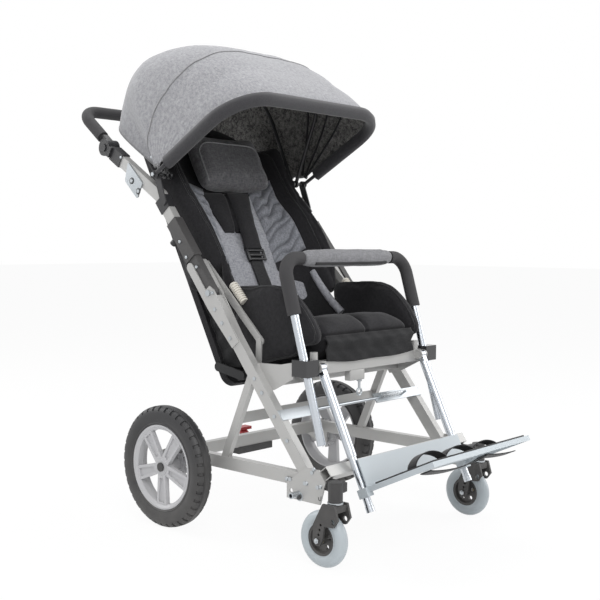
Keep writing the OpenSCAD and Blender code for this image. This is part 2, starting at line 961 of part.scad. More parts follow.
// Round-sectioned tyre on a seat of a given radius
module tyre_ring(outer_r, seat_r, w, bead) {
    rotate_extrude()
        difference() {
            union() {
                translate([outer_r - w / 2, 0])
                    circle(d = w);
                translate([seat_r, bead - w / 2])
                    square([outer_r - w / 2 - seat_r, w - 2 * bead]);
            }
            translate([0, -w])
                square([seat_r, 2 * w]);
        }
}

module rear_tyre(left) {
    bead = 4;
    color("#222224")
        on_side(left)
            around_axle(wheel_x, [0, axle_z])
                tyre_ring(axle_z, rear_rim_d / 2, rear_tyre_w, bead);
}

module rim_spoke() {
    face = 16;
    back = 4;
    pocket = 4;
    root_w = 24;
    tip_w = 36;
    tip = rear_rim_d / 2 - rim_depth + 2;
    difference() {
        translate([0, 0, back])
            linear_extrude(face - back)
                polygon([[0, -root_w / 2], [tip, -tip_w / 2], [tip, tip_w / 2], [0, root_w / 2]]);
        translate([0, 0, face - pocket])
            linear_extrude(pocket + 1)
                polygon([
                    [hub_d / 2 + 8, -root_w / 2 + 6], [tip - 6, -tip_w / 2 + 7],
                    [tip - 6, tip_w / 2 - 7], [hub_d / 2 + 8, root_w / 2 - 6]
                ]);
    }
}

module rear_rim(left) {
    rim_r = rear_rim_d / 2;
    color("#b4b6b9")
        on_side(left)
            around_axle(wheel_x, [0, axle_z]) {
                difference() {
                    union() {
                        rotate_extrude()
                            polygon([
                                [rim_r - 4, -rim_half], [rim_r, -rim_half],
                                [rim_r, rim_half], [rim_r - 4, rim_half],
                                [rim_r - rim_depth, rim_half - 6], [rim_r - rim_depth, rim_half - 20]
                            ]);
                        for (k = [0:spoke_count - 1])
                            rotate([0, 0, 360 * k / spoke_count])
                                rim_spoke();
                        translate([0, 0, -hub_step])
                            cylinder(d = hub_d, h = hub_step + hub_out);
                    }
                    translate([0, 0, -hub_step - 1])
                        cylinder(d = rear_axle_d + 2 * running_gap, h = hub_step + hub_out + 2);
                }
                brake_hub();
            }
}

// Inner half of the hub, a separate turned piece with the notched ring for the brake pawl
module brake_hub() {
    difference() {
        union() {
            translate([0, 0, -hub_in])
                cylinder(d = hub_d, h = hub_in - hub_step - running_gap);
            translate([0, 0, -hub_in + 4])
                brake_ring();
        }
        translate([0, 0, -hub_in - 1])
            cylinder(d = rear_axle_d + 2 * running_gap, h = hub_in + 2);
    }
}

module brake_ring() {
    notches = 12;
    notch = 9;
    difference() {
        cylinder(r = brake_ring_r, h = brake_ring_t);
        for (k = [0:notches - 1])
            rotate([0, 0, 360 * k / notches])
                translate([brake_ring_r - notch, -notch / 2, -1])
                    cube([2 * notch, notch, brake_ring_t + 2]);
    }
}

// Casters: fork with its stem, wheel hub and tyre

module fork_arm(x) {
    y0 = -wheel_base;
    axle = caster_axle;
    difference() {
        side_plate(
            [
                [y0 - 17, crown_top], [y0 + 17, crown_top],
                [axle[0] + 12, axle[1] + 34], [axle[0] + 13, axle[1]],
                [axle[0] + 5, axle[1] - 11], [axle[0] - 7, axle[1] - 11], [axle[0] - 15, axle[1] + 4],
                [axle[0] - 20, axle[1] + 34], [y0 - 14, axle[1] + 36], [y0 - 26, axle[1] + 52]
            ],
            x, fork_arm_t
        );
        cross_rod([y0 - 12, axle[1] + 48], x - 1, x + fork_arm_t + 1, 12);
        for (k = [0:2])
            cross_rod([axle[0] - 4 - 3 * k, axle[1] + 14 + 11 * k], x - 1, x + fork_arm_t + 1, 6);
    }
}

module caster_fork(left) {
    head_t = 3;
    color("#232326")
        on_side(left) {
            fork_arm(caster_x - fork_half);
            fork_arm(caster_x + fork_half - fork_arm_t);
            translate([caster_x, -wheel_base, crown_bottom])
                cylinder(d = crown_d, h = crown_t);
            box(
                [caster_x - fork_half, -wheel_base - 17, crown_bottom],
                [caster_x + fork_half, -wheel_base + 17, crown_top - 3]
            );
            translate([caster_x, -wheel_base, crown_top])
                cylinder(d = housing_d + 2, h = washer_t);
            translate([caster_x, -wheel_base, crown_top])
                cylinder(d = stem_d, h = stem_top - crown_top - 1);
            cross_rod(caster_axle, caster_x - fork_half, caster_x + fork_half, caster_axle_d);
            for (x = [caster_x - fork_half - head_t, caster_x + fork_half])
                cross_rod(caster_axle, x, x + head_t, caster_axle_d + 5);
        }
}

module caster_tyre(left) {
    bead = 3;
    color("#b9c4cb")
        on_side(left)
            around_axle(caster_x, caster_axle)
                tyre_ring(caster_r, caster_hub_r, caster_tyre_w, bead);
}

module caster_hub(left) {
    half = caster_tyre_w / 2 - 4;
    windows = 5;
    web = 4;
    color("#232326")
        on_side(left)
            around_axle(caster_x, caster_axle)
                difference() {
                    rotate_extrude()
                        polygon([
                            [0, -half - 5], [9, -half - 5], [11, -web], [27, -web],
                            [30, -half], [caster_hub_r, -half], [caster_hub_r, half], [30, half],
                            [27, web], [11, web], [9, half + 5], [0, half + 5]
                        ]);
                    for (k = [0:windows - 1])
                        rotate([0, 0, 360 * k / windows + 36])
                            translate([19.5, 0, -half])
                                cylinder(d = 11, h = 2 * half);
                    translate([0, 0, -half - 6])
                        cylinder(d = caster_axle_d + 2 * running_gap, h = 2 * half + 12);
                }
}

// Push tubes, the plastic joint sleeves on their lower ends and the release knobs

// Side outline of a push tube with a mitred bend, from a start below the bend to an end above it
function push_outline(start, end, half) =
    let (
        upper_dir = [cos(push_upper_slope), sin(push_upper_slope)],
        upper_normal = [-sin(push_upper_slope), cos(push_upper_slope)],
        mitre = (main_normal + upper_normal) / (1 + main_normal * upper_normal),
        low = fold_pivot + start * main_dir,
        high = bend_at + end * upper_dir
    )
    [
        low + half * main_normal, bend_at + half * mitre, high + half * upper_normal,
        high - half * upper_normal, bend_at - half * mitre, low - half * main_normal
    ];

module push_tube(left) {
    end = push_upper_len - socket_gap - 2;
    color("#d2cfca")
        on_side(left)
            difference() {
                side_plate(push_outline(push_start, end, tube_h / 2), inner_x, tube_w);
                side_plate(
                    push_outline(push_start - 1, end + 1, tube_h / 2 - tube_wall),
                    inner_x + tube_wall, tube_w - 2 * tube_wall
                );
            }
}

module fold_sleeve() {
    low = -tube_h / 2 - sleeve_wall - 1;
    high = tube_h / 2 + sleeve_wall;
    at(fold_pivot, main_slope)
        difference() {
            union() {
                link([0, 0], [sleeve_start, 0], inner_x + part_gap, tube_w - 2 * part_gap, 2 * tongue_r);
                box(
                    [inner_x - sleeve_wall + part_gap, sleeve_start, low],
                    [outer_x + sleeve_wall, sleeve_end, high]
                );
                translate([frame_x, knob_a, low - knob_boss])
                    cylinder(d = knob_stem_d + 8, h = knob_boss + 1);
            }
            box([inner_x, push_start, -tube_h / 2], [outer_x, sleeve_end + 1, tube_h / 2]);
            cross_rod([0, 0], inner_x - 5, outer_x + 5, fold_pin_d + 2 * running_gap);
            translate([frame_x, knob_a, low - knob_boss - 1])
                cylinder(d = knob_stem_d + 2 * running_gap, h = knob_boss + sleeve_wall + 3);
        }
}

module fold_sleeves() {
    color("#3a3a3e")
        both_sides()
            fold_sleeve();
}

module fold_knob(left) {
    low = -tube_h / 2 - sleeve_wall - 1 - knob_boss;
    color("#1b1b1d")
        on_side(left)
            at(fold_pivot, main_slope)
                translate([frame_x, knob_a, low]) {
                    translate([0, 0, -2])
                        cylinder(d = knob_stem_d, h = knob_boss + sleeve_wall + 2.5);
                    translate([0, 0, -14])
                        cylinder(d = knob_d, h = 14 - part_gap);
                }
}

// Canopy brackets: a clamp on each push tube with the pivot pin of the bows

clamp_from = 258;
clamp_to = 296;

module canopy_bracket() {
    arm_x = outer_x + 2;
    pin_from = rear_bow_half - bow_hub_w / 2;
    pin_to = canopy_half + bow_hub_w / 2 + 1;
    color("#202023")
        difference() {
            union() {
                at(fold_pivot, main_slope)
                    box([inner_x - 2, clamp_from, -tube_h / 2 - 3], [outer_x + 2, clamp_to, tube_h / 2 + 3]);
                link(main_at(main_len + clamp_from + 20, 10), canopy_pivot, arm_x, bracket_t, 20);
                cross_rod(canopy_pivot, pin_from, pin_to, canopy_pin_d);
                cross_rod(canopy_pivot, pin_to, pin_to + 2.5, canopy_pin_d + 6);
            }
            at(fold_pivot, main_slope)
                box([inner_x, clamp_from - 1, -tube_h / 2], [outer_x, clamp_to + 1, tube_h / 2]);
        }
}

module canopy_brackets() {
    both_sides()
        canopy_bracket();
}

// Bow of the canopy: a U of tube with a bored eye at each end
module canopy_bow(half, reach, angle, bend) {
    difference() {
        union() {
            at(canopy_pivot, 90 - angle)
                translate([0, 0, reach])
                    u_frame(half, reach - bow_hub_d / 2, bend, thin_bow_d);
            both_sides() {
                cross_rod(canopy_pivot, half - bow_hub_w / 2, half + bow_hub_w / 2, bow_hub_d);
                at(canopy_pivot, 90 - angle)
                    box([half - bow_hub_w / 2, -4, 0], [half + bow_hub_w / 2, 4, bow_hub_d]);
            }
        }
        cross_rod(canopy_pivot, -canopy_half - 10, canopy_half + 10, canopy_pin_d + 2 * running_gap);
    }
}

// Reach of a thin bow that lies just under the fabric
function bow_reach(angle) = fabric_reach(angle) - fabric_t - thin_bow_d / 2 - 4;

module canopy_bow_rear() {
    color("#26262a")
        canopy_bow(rear_bow_half, bow_reach(rear_bow_angle), rear_bow_angle, thin_bow_bend);
}

module canopy_bow_middle() {
    color("#26262a")
        canopy_bow(middle_bow_half, bow_reach(middle_bow_angle), middle_bow_angle, thin_bow_bend);
}

// The front bow wears a thick padded binding from above its eye
module canopy_bow_front() {
    pad_from = 58;
    color("#3b3a40") {
        canopy_bow(canopy_half, front_bow_reach, front_bow_angle, front_bow_bend);
        at(canopy_pivot, 90 - front_bow_angle)
            translate([0, 0, front_bow_reach])
                u_frame(canopy_half, front_bow_reach - pad_from, front_bow_bend, front_bow_d);
    }
}

// Canopy fabric: one thin curved sheet from the front bow over the other two to the rear hem

fabric_steps = 20;
fabric_rows = 11;
hem_angle = 150;
fabric_edge = 8;

// Reach of the fabric from the pivot at an angle above level: level top, full back, tucked-in hem
function fabric_reach(angle) = lookup(angle, [
    [front_bow_angle, front_bow_reach + 4], [50, canopy_top - 8], [70, canopy_top - 4], [90, canopy_top],
    [110, canopy_top + 10], [130, canopy_top + 14], [hem_angle, canopy_top - 22]
]);

// How square the fabric's arch is, from the squared front bow to the rounder back
function fabric_power(angle) =
    lookup(angle, [[front_bow_angle, 5.5], [50, 4.2], [70, 3.8], [110, 4.6], [hem_angle, 4.6]]);

// One arch of the fabric, as a row of points from the left edge to the right edge
function fabric_arch(row, inset) =
    let (
        share = row / (fabric_rows - 1),
        angle = front_bow_angle + (hem_angle - front_bow_angle) * share,
        lift = (front_bow_d / 2 + 1) * max(0, 1 - 5 * share) + part_gap,
        power = fabric_power(angle),
        half = canopy_half - 12 * share - inset,
        reach = fabric_reach(angle) - inset
    )
    [
        for (k = [0:fabric_steps])
            let (
                a = fabric_edge + (180 - 2 * fabric_edge) * k / fabric_steps,
                r = pow(pow(abs(cos(a)), power) + pow(abs(sin(a)), power), -1 / power),
                rho = reach * r * sin(a)
            )
            [
                half * r * cos(a),
                canopy_pivot[0] - rho * cos(angle) + lift * sin(angle),
                canopy_pivot[1] + rho * sin(angle) + lift * cos(angle)
            ]
    ];

module canopy_fabric() {
    color("#8b8d92")
        thin_sheet(
            [for (row = [0:fabric_rows - 1]) fabric_arch(row, 0)],
            [for (row = [0:fabric_rows - 1]) fabric_arch(row, fabric_t)]
        );
}

// Handle hinge: sockets on the push tubes, the handle with its knuckles, the grip and the push buttons

module handle_socket() {
    from = push_upper_len - socket_gap - socket_len;
    to = push_upper_len - socket_gap;
    wall = 3;
    disc_x = frame_x + part_gap;
    difference() {
        union() {
            at(bend_at, push_upper_slope) {
                box([inner_x - wall, from, -tube_h / 2 - wall], [outer_x + wall, to, tube_h / 2 + wall]);
                box([disc_x, to - 1, -14], [disc_x + socket_w, push_upper_len, 14]);
            }
            cross_rod(hinge_at, disc_x, disc_x + socket_w, hinge_disc_d);
            cross_rod(hinge_at, frame_x - knuckle_w - 2, disc_x + 1, hinge_pin_d);
        }
        at(bend_at, push_upper_slope)
            box([inner_x, from - 1, -tube_h / 2], [outer_x, to - 2, tube_h / 2]);
        cross_rod(
            hinge_at, disc_x + socket_w - button_travel - 5, disc_x + socket_w + 1, button_d + 2 * running_gap
        );
    }
}

module handle_sockets() {
    color("#2c2c30")
        both_sides()
            handle_socket();
}

module hinge_button(left) {
    face = frame_x + part_gap + socket_w;
    color("#141416")
        on_side(left)
            cross_rod(hinge_at, face - 4.5, face + button_out, button_d);
}

arm_x = frame_x - knuckle_w / 2;
handle_bend = 58;
handle_start = 46;
neck_half = knuckle_w / 2 - 1;
neck_depth = handle_d / 2 + 1;

module handle_bar() {
    color("#2c2c30")
        difference() {
            union() {
                at(hinge_at, handle_slope - 90)
                    translate([0, 0, handle_len])
                        u_frame(arm_x, handle_len - handle_start, handle_bend, handle_d);
                both_sides() {
                    cross_rod(hinge_at, frame_x - knuckle_w, frame_x, hinge_disc_d - 2);
                    at(hinge_at, handle_slope - 90)
                        translate([arm_x, 0, 0])
                            box([-neck_half, -neck_depth, 0], [neck_half, neck_depth, handle_start]);
                }
            }
            both_sides()
                cross_rod(hinge_at, frame_x - knuckle_w - 10, frame_x + 1, hinge_pin_d + 2 * running_gap);
        }
}

module handle_grip() {
    grip_leg = handle_len - handle_start - 6;
    color("#3d3c40")
        at(hinge_at, handle_slope - 90)
            translate([0, 0, handle_len])
                difference() {
                    u_frame(arm_x, grip_leg, handle_bend, grip_d);
                    u_frame(arm_x, grip_leg + 1, handle_bend, handle_d);
                }
}

// Backrest: panel on its hinge pins, pad with side wings, head cushion

module backrest_panel() {
    corner = 30;
    color("#1c1c1f")
        difference() {
            at(back_foot, -back_lean)
                translate([0, 0, -panel_low])
                    rotate([90, 0, 0])
                        linear_extrude(panel_t) {
                            translate([-back_w / 2, corner])
                                square([back_w, back_len - 2 * corner]);
                            translate([corner - back_w / 2, 0])
                                square([back_w - 2 * corner, back_len]);
                            for (x = [-1, 1], z = [corner, back_len - corner])
                                translate([x * (back_w / 2 - corner), z])
                                    circle(r = corner);
                        }
            both_sides()
                cross_rod(back_hinge, back_w / 2 - 14, back_w, back_pin_d + 2 * running_gap);
        }
}

pad_half = back_w / 2 - 16;
wing_half = back_w / 2 + 33;
pad_shares = [0, 0.015, 0.05, 0.12, 0.175, 0.205, 0.24, 0.32, 0.42, 0.55, 0.68, 0.8, 0.9, 0.96, 1];

// Smooth step from 0 to 1
function eased(v) = let (c = min(1, max(0, v))) c * c * (3 - 2 * c);

// Front of the pad at a share of its half width: flat open middle, then the wing with a rounded crest
function pad_depth(share, wing, open) =
    let (
        crest = 0.92,
        rise = pow(min(1, max(0, abs(share) - open) / (crest - open)), 2),
        fall = pow(max(0, abs(share) - crest) / (1 - crest), 2)
    )
    pad_t + (wing - pad_t) * rise - 0.4 * wing * fall;

// The pad is narrow between the hip guards, and its wings widen and stand out above them
function pad_ring(share) =
    let (
        steps = 24,
        u = pad_start + (pad_end - pad_start) * share,
        above = eased((share - 0.175) / 0.065),
        half = pad_half + (wing_half - pad_half) * above,
        edge = fullness(2 * share - 1, 7, 0.45),
        open = 0.45 + 0.17 * eased((share - 0.5) / 0.18),
        high = 1 - 0.25 * eased((share - 0.36) / 0.45),
        wing = pad_t + (wing_t * high - pad_t) * (0.28 + 0.72 * above),
        front = [
            for (k = [0:steps])
                let (x = 2 * k / steps - 1)
                [x, panel_t + part_gap + edge * pad_depth(x, wing, open)]
        ],
        back = [for (k = [0:6]) [1 - 2 * k / 6, panel_t + part_gap]]
    )
    [
        for (q = concat(front, back))
            let (p = back_at(u, q[1]))
            [q[0] * half, p[0], p[1]]
    ];

module backrest_pad() {
    color("#26262a")
        loft([for (share = pad_shares) pad_ring(share)]);
}

head_u = back_len - 109;
head_h = 172;

function head_ring(share) =
    let (
        full = fullness(share, 4, 0.5),
        steps = 16,
        wing = 14 * pow(abs(share), 3)
    )
    [
        for (k = [0:steps - 1])
            let (
                a = 360 * k / steps,
                u = head_u + head_h / 2 * (0.85 + 0.15 * full) * squared(cos(a), 4),
                n = panel_t + pad_t + wing + head_t / 2 + head_t / 2 * full * squared(sin(a), 3.2),
                p = back_at(u, n)
            )
            [share * head_w / 2, p[0], p[1]]
    ];

module head_cushion() {
    color("#4a4a50")
        loft(mirrored_rings([-1, -0.96, -0.88, -0.7, -0.4, 0], function (x) head_ring(x)));
}

// Bumper bar: chrome tube in the clamps, foam on the legs, padded cover on the bar

bumper_bend = 45;
foam_leg = 133;
cover_half = 168;

module at_bumper() {
    at(clamp_at, -bumper_lean)
        translate([0, 0, bumper_up])
            children();
}

module bumper_bar() {
    color("#dfe1e3")
        at_bumper()
            difference() {
                u_frame(bumper_x, bumper_up + bumper_down, bumper_bend, bumper_d);
                u_frame(bumper_x, bumper_up + bumper_down + 1, bumper_bend, bumper_d - 2 * tube_wall);
            }
}

module bumper_foam() {
    color("#3a393c")
        at_bumper()
            difference() {
                u_frame(bumper_x, foam_leg, bumper_bend, bumper_foam_d);
                u_frame(bumper_x, foam_leg + 1, bumper_bend, bumper_d);
                box([-cover_half, -100, -100], [cover_half, 100, 100]);
            }
}

function cover_ring(share) =
    let (
        radius = bumper_cover_d / 2 * fullness(share, 6, 0.74),
        steps = 12,
        gathers = 1 + 0.03 * cos(share * 360 * 4)
    )
    [
        for (k = [0:steps - 1])
            let (a = 360 * k / steps)
            [share * (cover_half - part_gap), radius * gathers * cos(a), radius * sin(a)]
    ];

module bumper_cover() {
    color("#77767a")
        at_bumper()
            difference() {
                loft(mirrored_rings([-1, -0.97, -0.9, -0.75, -0.5, -0.25, 0], function (x) cover_ring(x)));
                translate([-cover_half, 0, 0])
                    rotate([0, 90, 0])
                        cylinder(d = bumper_d, h = 2 * cover_half);
            }
}

// Footrest: outer tubes on the hinge, inner tubes with rubber tips, and the bent foot plate

module at_footrest() {
    at(foot_hinge, -footrest_lean)
        children();
}

module footrest_tubes() {
    color("#dfe1e3")
        both_sides()
            difference() {
                union() {
                    cross_rod(foot_hinge, footrest_x - eye_w / 2, footrest_x + eye_w / 2, eye_d);
                    at_footrest() {
                        box([footrest_x - eye_w / 2 + 1, -7, -24], [footrest_x + eye_w / 2 - 1, 7, 0]);
                        translate([footrest_x, 0, -footrest_outer])
                            cylinder(d = footrest_d, h = footrest_outer - 20);
                    }
                }
                cross_rod(foot_hinge, footrest_x - eye_w, footrest_x + eye_w, foot_pin_d + 2 * running_gap);
                at_footrest()
                    translate([footrest_x, 0, -footrest_outer - 1])
                        cylinder(d = footrest_d - 2 * foot_wall, h = footrest_outer - 29);
            }
}

module footrest_slides() {
    tip = 14;
    color("#cfd2d4")
        both_sides()
            at_footrest()
                translate([footrest_x, 0, -footrest_len]) {
                    cylinder(d = inner_d, h = footrest_len - inner_start);
                    cylinder(d = inner_d + 2, h = tip);
                }
}

module footplate() {
    half = foot_w / 2;
    front = calf_n + foot_depth;
    collar = inner_d / 2 + 1.5;
    color("#c3c7ca")
        at_footrest()
            difference() {
                union() {
                    box([-half, -calf_n - sheet_t, -foot_drop], [half, -calf_n, -calf_top]);
                    box([-half, -front, -foot_drop - sheet_t], [half, -calf_n, -foot_drop]);
                    box([-half, -front, -foot_drop - flange_h], [half, sheet_t - front, -foot_drop]);
                    for (x = [-half, half - sheet_t])
                        box([x, -front, -foot_drop - flange_h], [x + sheet_t, -calf_n, -foot_drop]);
                    for (s = [-1, 1])
                        box(
                            [s * footrest_x - collar, -calf_n - sheet_t, -foot_drop - 20],
                            [s * footrest_x + collar, collar, -foot_drop]
                        );
                }
                both_sides()
                    translate([footrest_x, 0, -footrest_len])
                        cylinder(d = inner_d, h = footrest_len);
            }
}

at_origin() bottom_rail(true);  // bottom_rail_left
at_origin() bottom_rail(false);  // bottom_rail_right
at_origin() main_tube(true);  // main_tube_left
at_origin() main_tube(false);  // main_tube_right
at_origin() rear_cross_tube();
at_origin() front_cross_tube();
at_origin() rear_struts();
at_origin() frame_plates();
at_origin() caster_housings();
at_origin() rear_axles();
at_origin() fold_brackets();
at_origin() frame_bolts();
at_origin() seat_stays();
at_origin() seat_side_plates();
at_origin() seat_tubes();
at_origin() seat_board();
at_origin() bumper_clamps();
at_origin() lock_bar();
at_origin() lock_spring();
at_origin() brake_housing();
at_origin() seat_cushion();
at_origin() hip_guard(true);  // hip_guard_left
at_origin() hip_guard(false);  // hip_guard_right
at_origin() rear_tyre(true);  // rear_tyre_left
at_origin() rear_rim(true);  // rear_rim_left
at_origin() rear_tyre(false);  // rear_tyre_right
at_origin() rear_rim(false);  // rear_rim_right
at_origin() caster_fork(true);  // caster_fork_left
at_origin() caster_fork(false);  // caster_fork_right
at_origin() caster_tyre(true);  // caster_tyre_left
at_origin() caster_tyre(false);  // caster_tyre_right
at_origin() caster_hub(true);  // caster_hub_left
at_origin() caster_hub(false);  // caster_hub_right
at_origin() brake_pedal();
at_origin() brake_shaft();
at_origin() push_tube(true);  // push_tube_left
at_origin() push_tube(false);  // push_tube_right
at_origin() fold_sleeves();
at_origin() canopy_brackets();
at_origin() handle_sockets();
at_origin() canopy_bow_rear();
at_origin() canopy_fabric();
at_origin() fold_knob(true);  // fold_knob_left
at_origin() fold_knob(false);  // fold_knob_right
at_origin() handle_bar();
at_origin() handle_grip();
at_origin() hinge_button(true);  // hinge_button_left
at_origin() hinge_button(false);  // hinge_button_right
at_origin() canopy_bow_middle();
at_origin() canopy_bow_front();
at_origin() backrest_panel();
at_origin() backrest_pad();
at_origin() head_cushion();
at_origin() bumper_bar();
at_origin() bumper_foam();
at_origin() bumper_cover();
at_origin() footrest_tubes();
at_origin() footrest_slides();
at_origin() footplate();
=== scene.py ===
import math

import bmesh
import bpy
import numpy as np
from mathutils import Matrix, Vector, noise
from mathutils.bvhtree import BVHTree


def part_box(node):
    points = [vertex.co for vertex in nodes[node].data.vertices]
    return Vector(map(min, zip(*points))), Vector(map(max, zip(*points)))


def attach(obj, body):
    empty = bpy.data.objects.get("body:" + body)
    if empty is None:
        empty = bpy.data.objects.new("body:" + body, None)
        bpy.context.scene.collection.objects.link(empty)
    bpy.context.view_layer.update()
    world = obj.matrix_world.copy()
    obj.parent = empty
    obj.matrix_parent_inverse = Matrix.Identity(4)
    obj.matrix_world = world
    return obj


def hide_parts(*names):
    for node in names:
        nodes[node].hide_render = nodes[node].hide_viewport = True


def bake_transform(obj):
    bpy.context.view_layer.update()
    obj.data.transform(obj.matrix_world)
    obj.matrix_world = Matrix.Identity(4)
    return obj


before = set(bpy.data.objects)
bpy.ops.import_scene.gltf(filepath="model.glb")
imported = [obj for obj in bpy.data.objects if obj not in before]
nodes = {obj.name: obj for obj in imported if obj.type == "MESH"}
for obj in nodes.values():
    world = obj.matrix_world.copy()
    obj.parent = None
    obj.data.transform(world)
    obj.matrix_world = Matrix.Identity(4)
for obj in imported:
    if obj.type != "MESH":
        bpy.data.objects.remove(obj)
scene = bpy.context.scene
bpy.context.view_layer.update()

# Studio: the camera stands low in front of the buggy's right side, over a pale floor that keeps
# the shadow. Soft boxes and a white surround light the object at a plain level.
CAMERA_YAW, CAMERA_PITCH, CAMERA_ROLL = (math.radians(a) for a in (-47.8, -3.307, 0.29))
camera_data = bpy.data.cameras.new("studio_camera")
camera_data.sensor_width = 36
camera_data.lens = 59.19
camera = bpy.data.objects.new("studio_camera", camera_data)
camera.location = (-1.8767, -1.7302, 0.7004)
aim = Matrix.Rotation(CAMERA_YAW, 3, "Z") @ Matrix.Rotation(math.pi / 2 + CAMERA_PITCH, 3, "X")
camera.rotation_euler = (aim @ Matrix.Rotation(CAMERA_ROLL, 3, "Z")).to_euler()
scene.collection.objects.link(camera)
scene.camera = camera
scene.view_settings.view_transform = "Standard"


def add_node(tree, kind, inputs=(), **settings):
    """A new shader node with its settings, and with the given values on its inputs."""
    node = tree.nodes.new("ShaderNode" + kind)
    for name, value in settings.items():
        setattr(node, name, value)
    for socket, value in dict(inputs).items():
        node.inputs[socket].default_value = value
    return node


def join(tree, *links):
    """Links nodes: each link is a node, its output, the next node and its input."""
    for start, output, end, entry in links:
        tree.links.new(start.outputs[output], end.inputs[entry])


def seen_directly(tree):
    """A node whose value is 1 for rays from the camera, from a mirror or through glass."""
    path = add_node(tree, "LightPath")
    either = add_node(tree, "Math", operation="MAXIMUM")
    any_of = add_node(tree, "Math", operation="MAXIMUM")
    join(
        tree, (path, "Is Camera Ray", either, 0), (path, "Is Glossy Ray", either, 1),
        (either, 0, any_of, 0), (path, "Is Transmission Ray", any_of, 1),
    )
    return any_of


surround = bpy.data.worlds.new("studio_surround")
surround.use_nodes = True
scene.world = surround
tree = surround.node_tree
ambient = tree.nodes["Background"]
ambient.inputs["Color"].default_value = (0.97, 0.98, 1.0, 1)
ambient.inputs["Strength"].default_value = 0.42
white = add_node(tree, "Background", {"Color": (1, 1, 1, 1)})
choice = add_node(tree, "MixShader")
join(
    tree, (seen_directly(tree), 0, choice, "Fac"), (ambient, 0, choice, 1), (white, 0, choice, 2),
    (choice, 0, tree.nodes["World Output"], "Surface"),
)


def new_material(name):
    """A material and its nodes."""
    material = bpy.data.materials.new(name)
    material.use_nodes = True
    return material, material.node_tree


GLOW_SHARE = 0.94
FLOOR_DROP = 0.0005
floor_paint, tree = new_material("floor_paint")
tree.nodes.remove(tree.nodes["Principled BSDF"])
matt = add_node(tree, "BsdfDiffuse", {"Color": (0.95, 0.95, 0.95, 1)})
glow = add_node(tree, "Emission")
share = add_node(tree, "Math", {1: GLOW_SHARE}, operation="MULTIPLY")
choice = add_node(tree, "MixShader")
join(
    tree, (seen_directly(tree), 0, share, 0), (share, 0, choice, "Fac"), (matt, 0, choice, 1),
    (glow, 0, choice, 2), (choice, 0, tree.nodes["Material Output"], "Surface"),
)
bm = bmesh.new()
bmesh.ops.create_grid(
    bm, x_segments=1, y_segments=1, size=25, matrix=Matrix.Translation((0, 0, -FLOOR_DROP)),
)
floor_mesh = bpy.data.meshes.new("studio_floor")
bm.to_mesh(floor_mesh)
bm.free()
floor_mesh.materials.append(floor_paint)
studio_floor = bpy.data.objects.new("studio_floor", floor_mesh)
scene.collection.objects.link(studio_floor)

LIT_POINT = Vector((0, 0, 0.6))
for name, place, size, watts in (
    ("key_box", (-2.2, -2.6, 3.0), 2.2, 85),
    ("fill_box", (2.8, -2.2, 1.9), 2.4, 45),
    ("top_box", (0.2, 0.6, 3.6), 2.6, 60),
    ("rear_box", (-1.2, 3.2, 2.2), 2.0, 40),
):
    lamp = bpy.data.lights.new(name, "AREA")
    lamp.size = size
    lamp.energy = watts
    soft_box = bpy.data.objects.new(name, lamp)
    soft_box.location = place
    soft_box.rotation_euler = (LIT_POINT - Vector(place)).to_track_quat("-Z", "Y").to_euler()
    scene.collection.objects.link(soft_box)


# Frame: square and flat steel tubes with a satin light grey powder coat. Rails, main tubes, cross
# tubes, struts, plates and stays are welded, riveted or bolted together.
def node_group(name, numbers, results):
    """An empty shader group with number inputs and number results."""
    group = bpy.data.node_groups.new(name, "ShaderNodeTree")
    for socket, value in numbers:
        made = group.interface.new_socket(socket, in_out="INPUT", socket_type="NodeSocketFloat")
        made.default_value = value
    for socket in results:
        group.interface.new_socket(socket, in_out="OUTPUT", socket_type="NodeSocketFloat")
    return group, group.nodes.new("NodeGroupInput"), group.nodes.new("NodeGroupOutput")


grain, entry, result = node_group("surface_grain", [("Scale", 400)], ["Shade", "Height"])
place = add_node(grain, "TexCoord")
fine = add_node(grain, "TexNoise", {"Detail": 3})
broad = add_node(grain, "TexNoise", {"Scale": 11, "Detail": 5})
both = add_node(grain, "Mix", {0: 0.6})
join(
    grain, (entry, "Scale", fine, "Scale"), (place, "Object", fine, "Vector"),
    (place, "Object", broad, "Vector"), (fine, "Fac", both, 2), (broad, "Fac", both, 3),
    (both, 0, result, "Shade"), (fine, "Fac", result, "Height"),
)

DUST_REACH = 0.3
dust, entry, result = node_group("floor_dust", [("Reach", DUST_REACH)], ["Mask"])
place = add_node(dust, "TexCoord")
split = add_node(dust, "SeparateXYZ")
height = add_node(dust, "MapRange", {"To Min": 1, "To Max": 0})
patches = add_node(dust, "TexNoise", {"Scale": 24, "Detail": 6})
amount = add_node(dust, "Math", operation="MULTIPLY")
join(
    dust, (place, "Object", split, 0), (place, "Object", patches, "Vector"), (split, "Z", height, "Value"),
    (entry, "Reach", height, "From Max"), (height, 0, amount, 0), (patches, "Fac", amount, 1),
    (amount, 0, result, "Mask"),
)


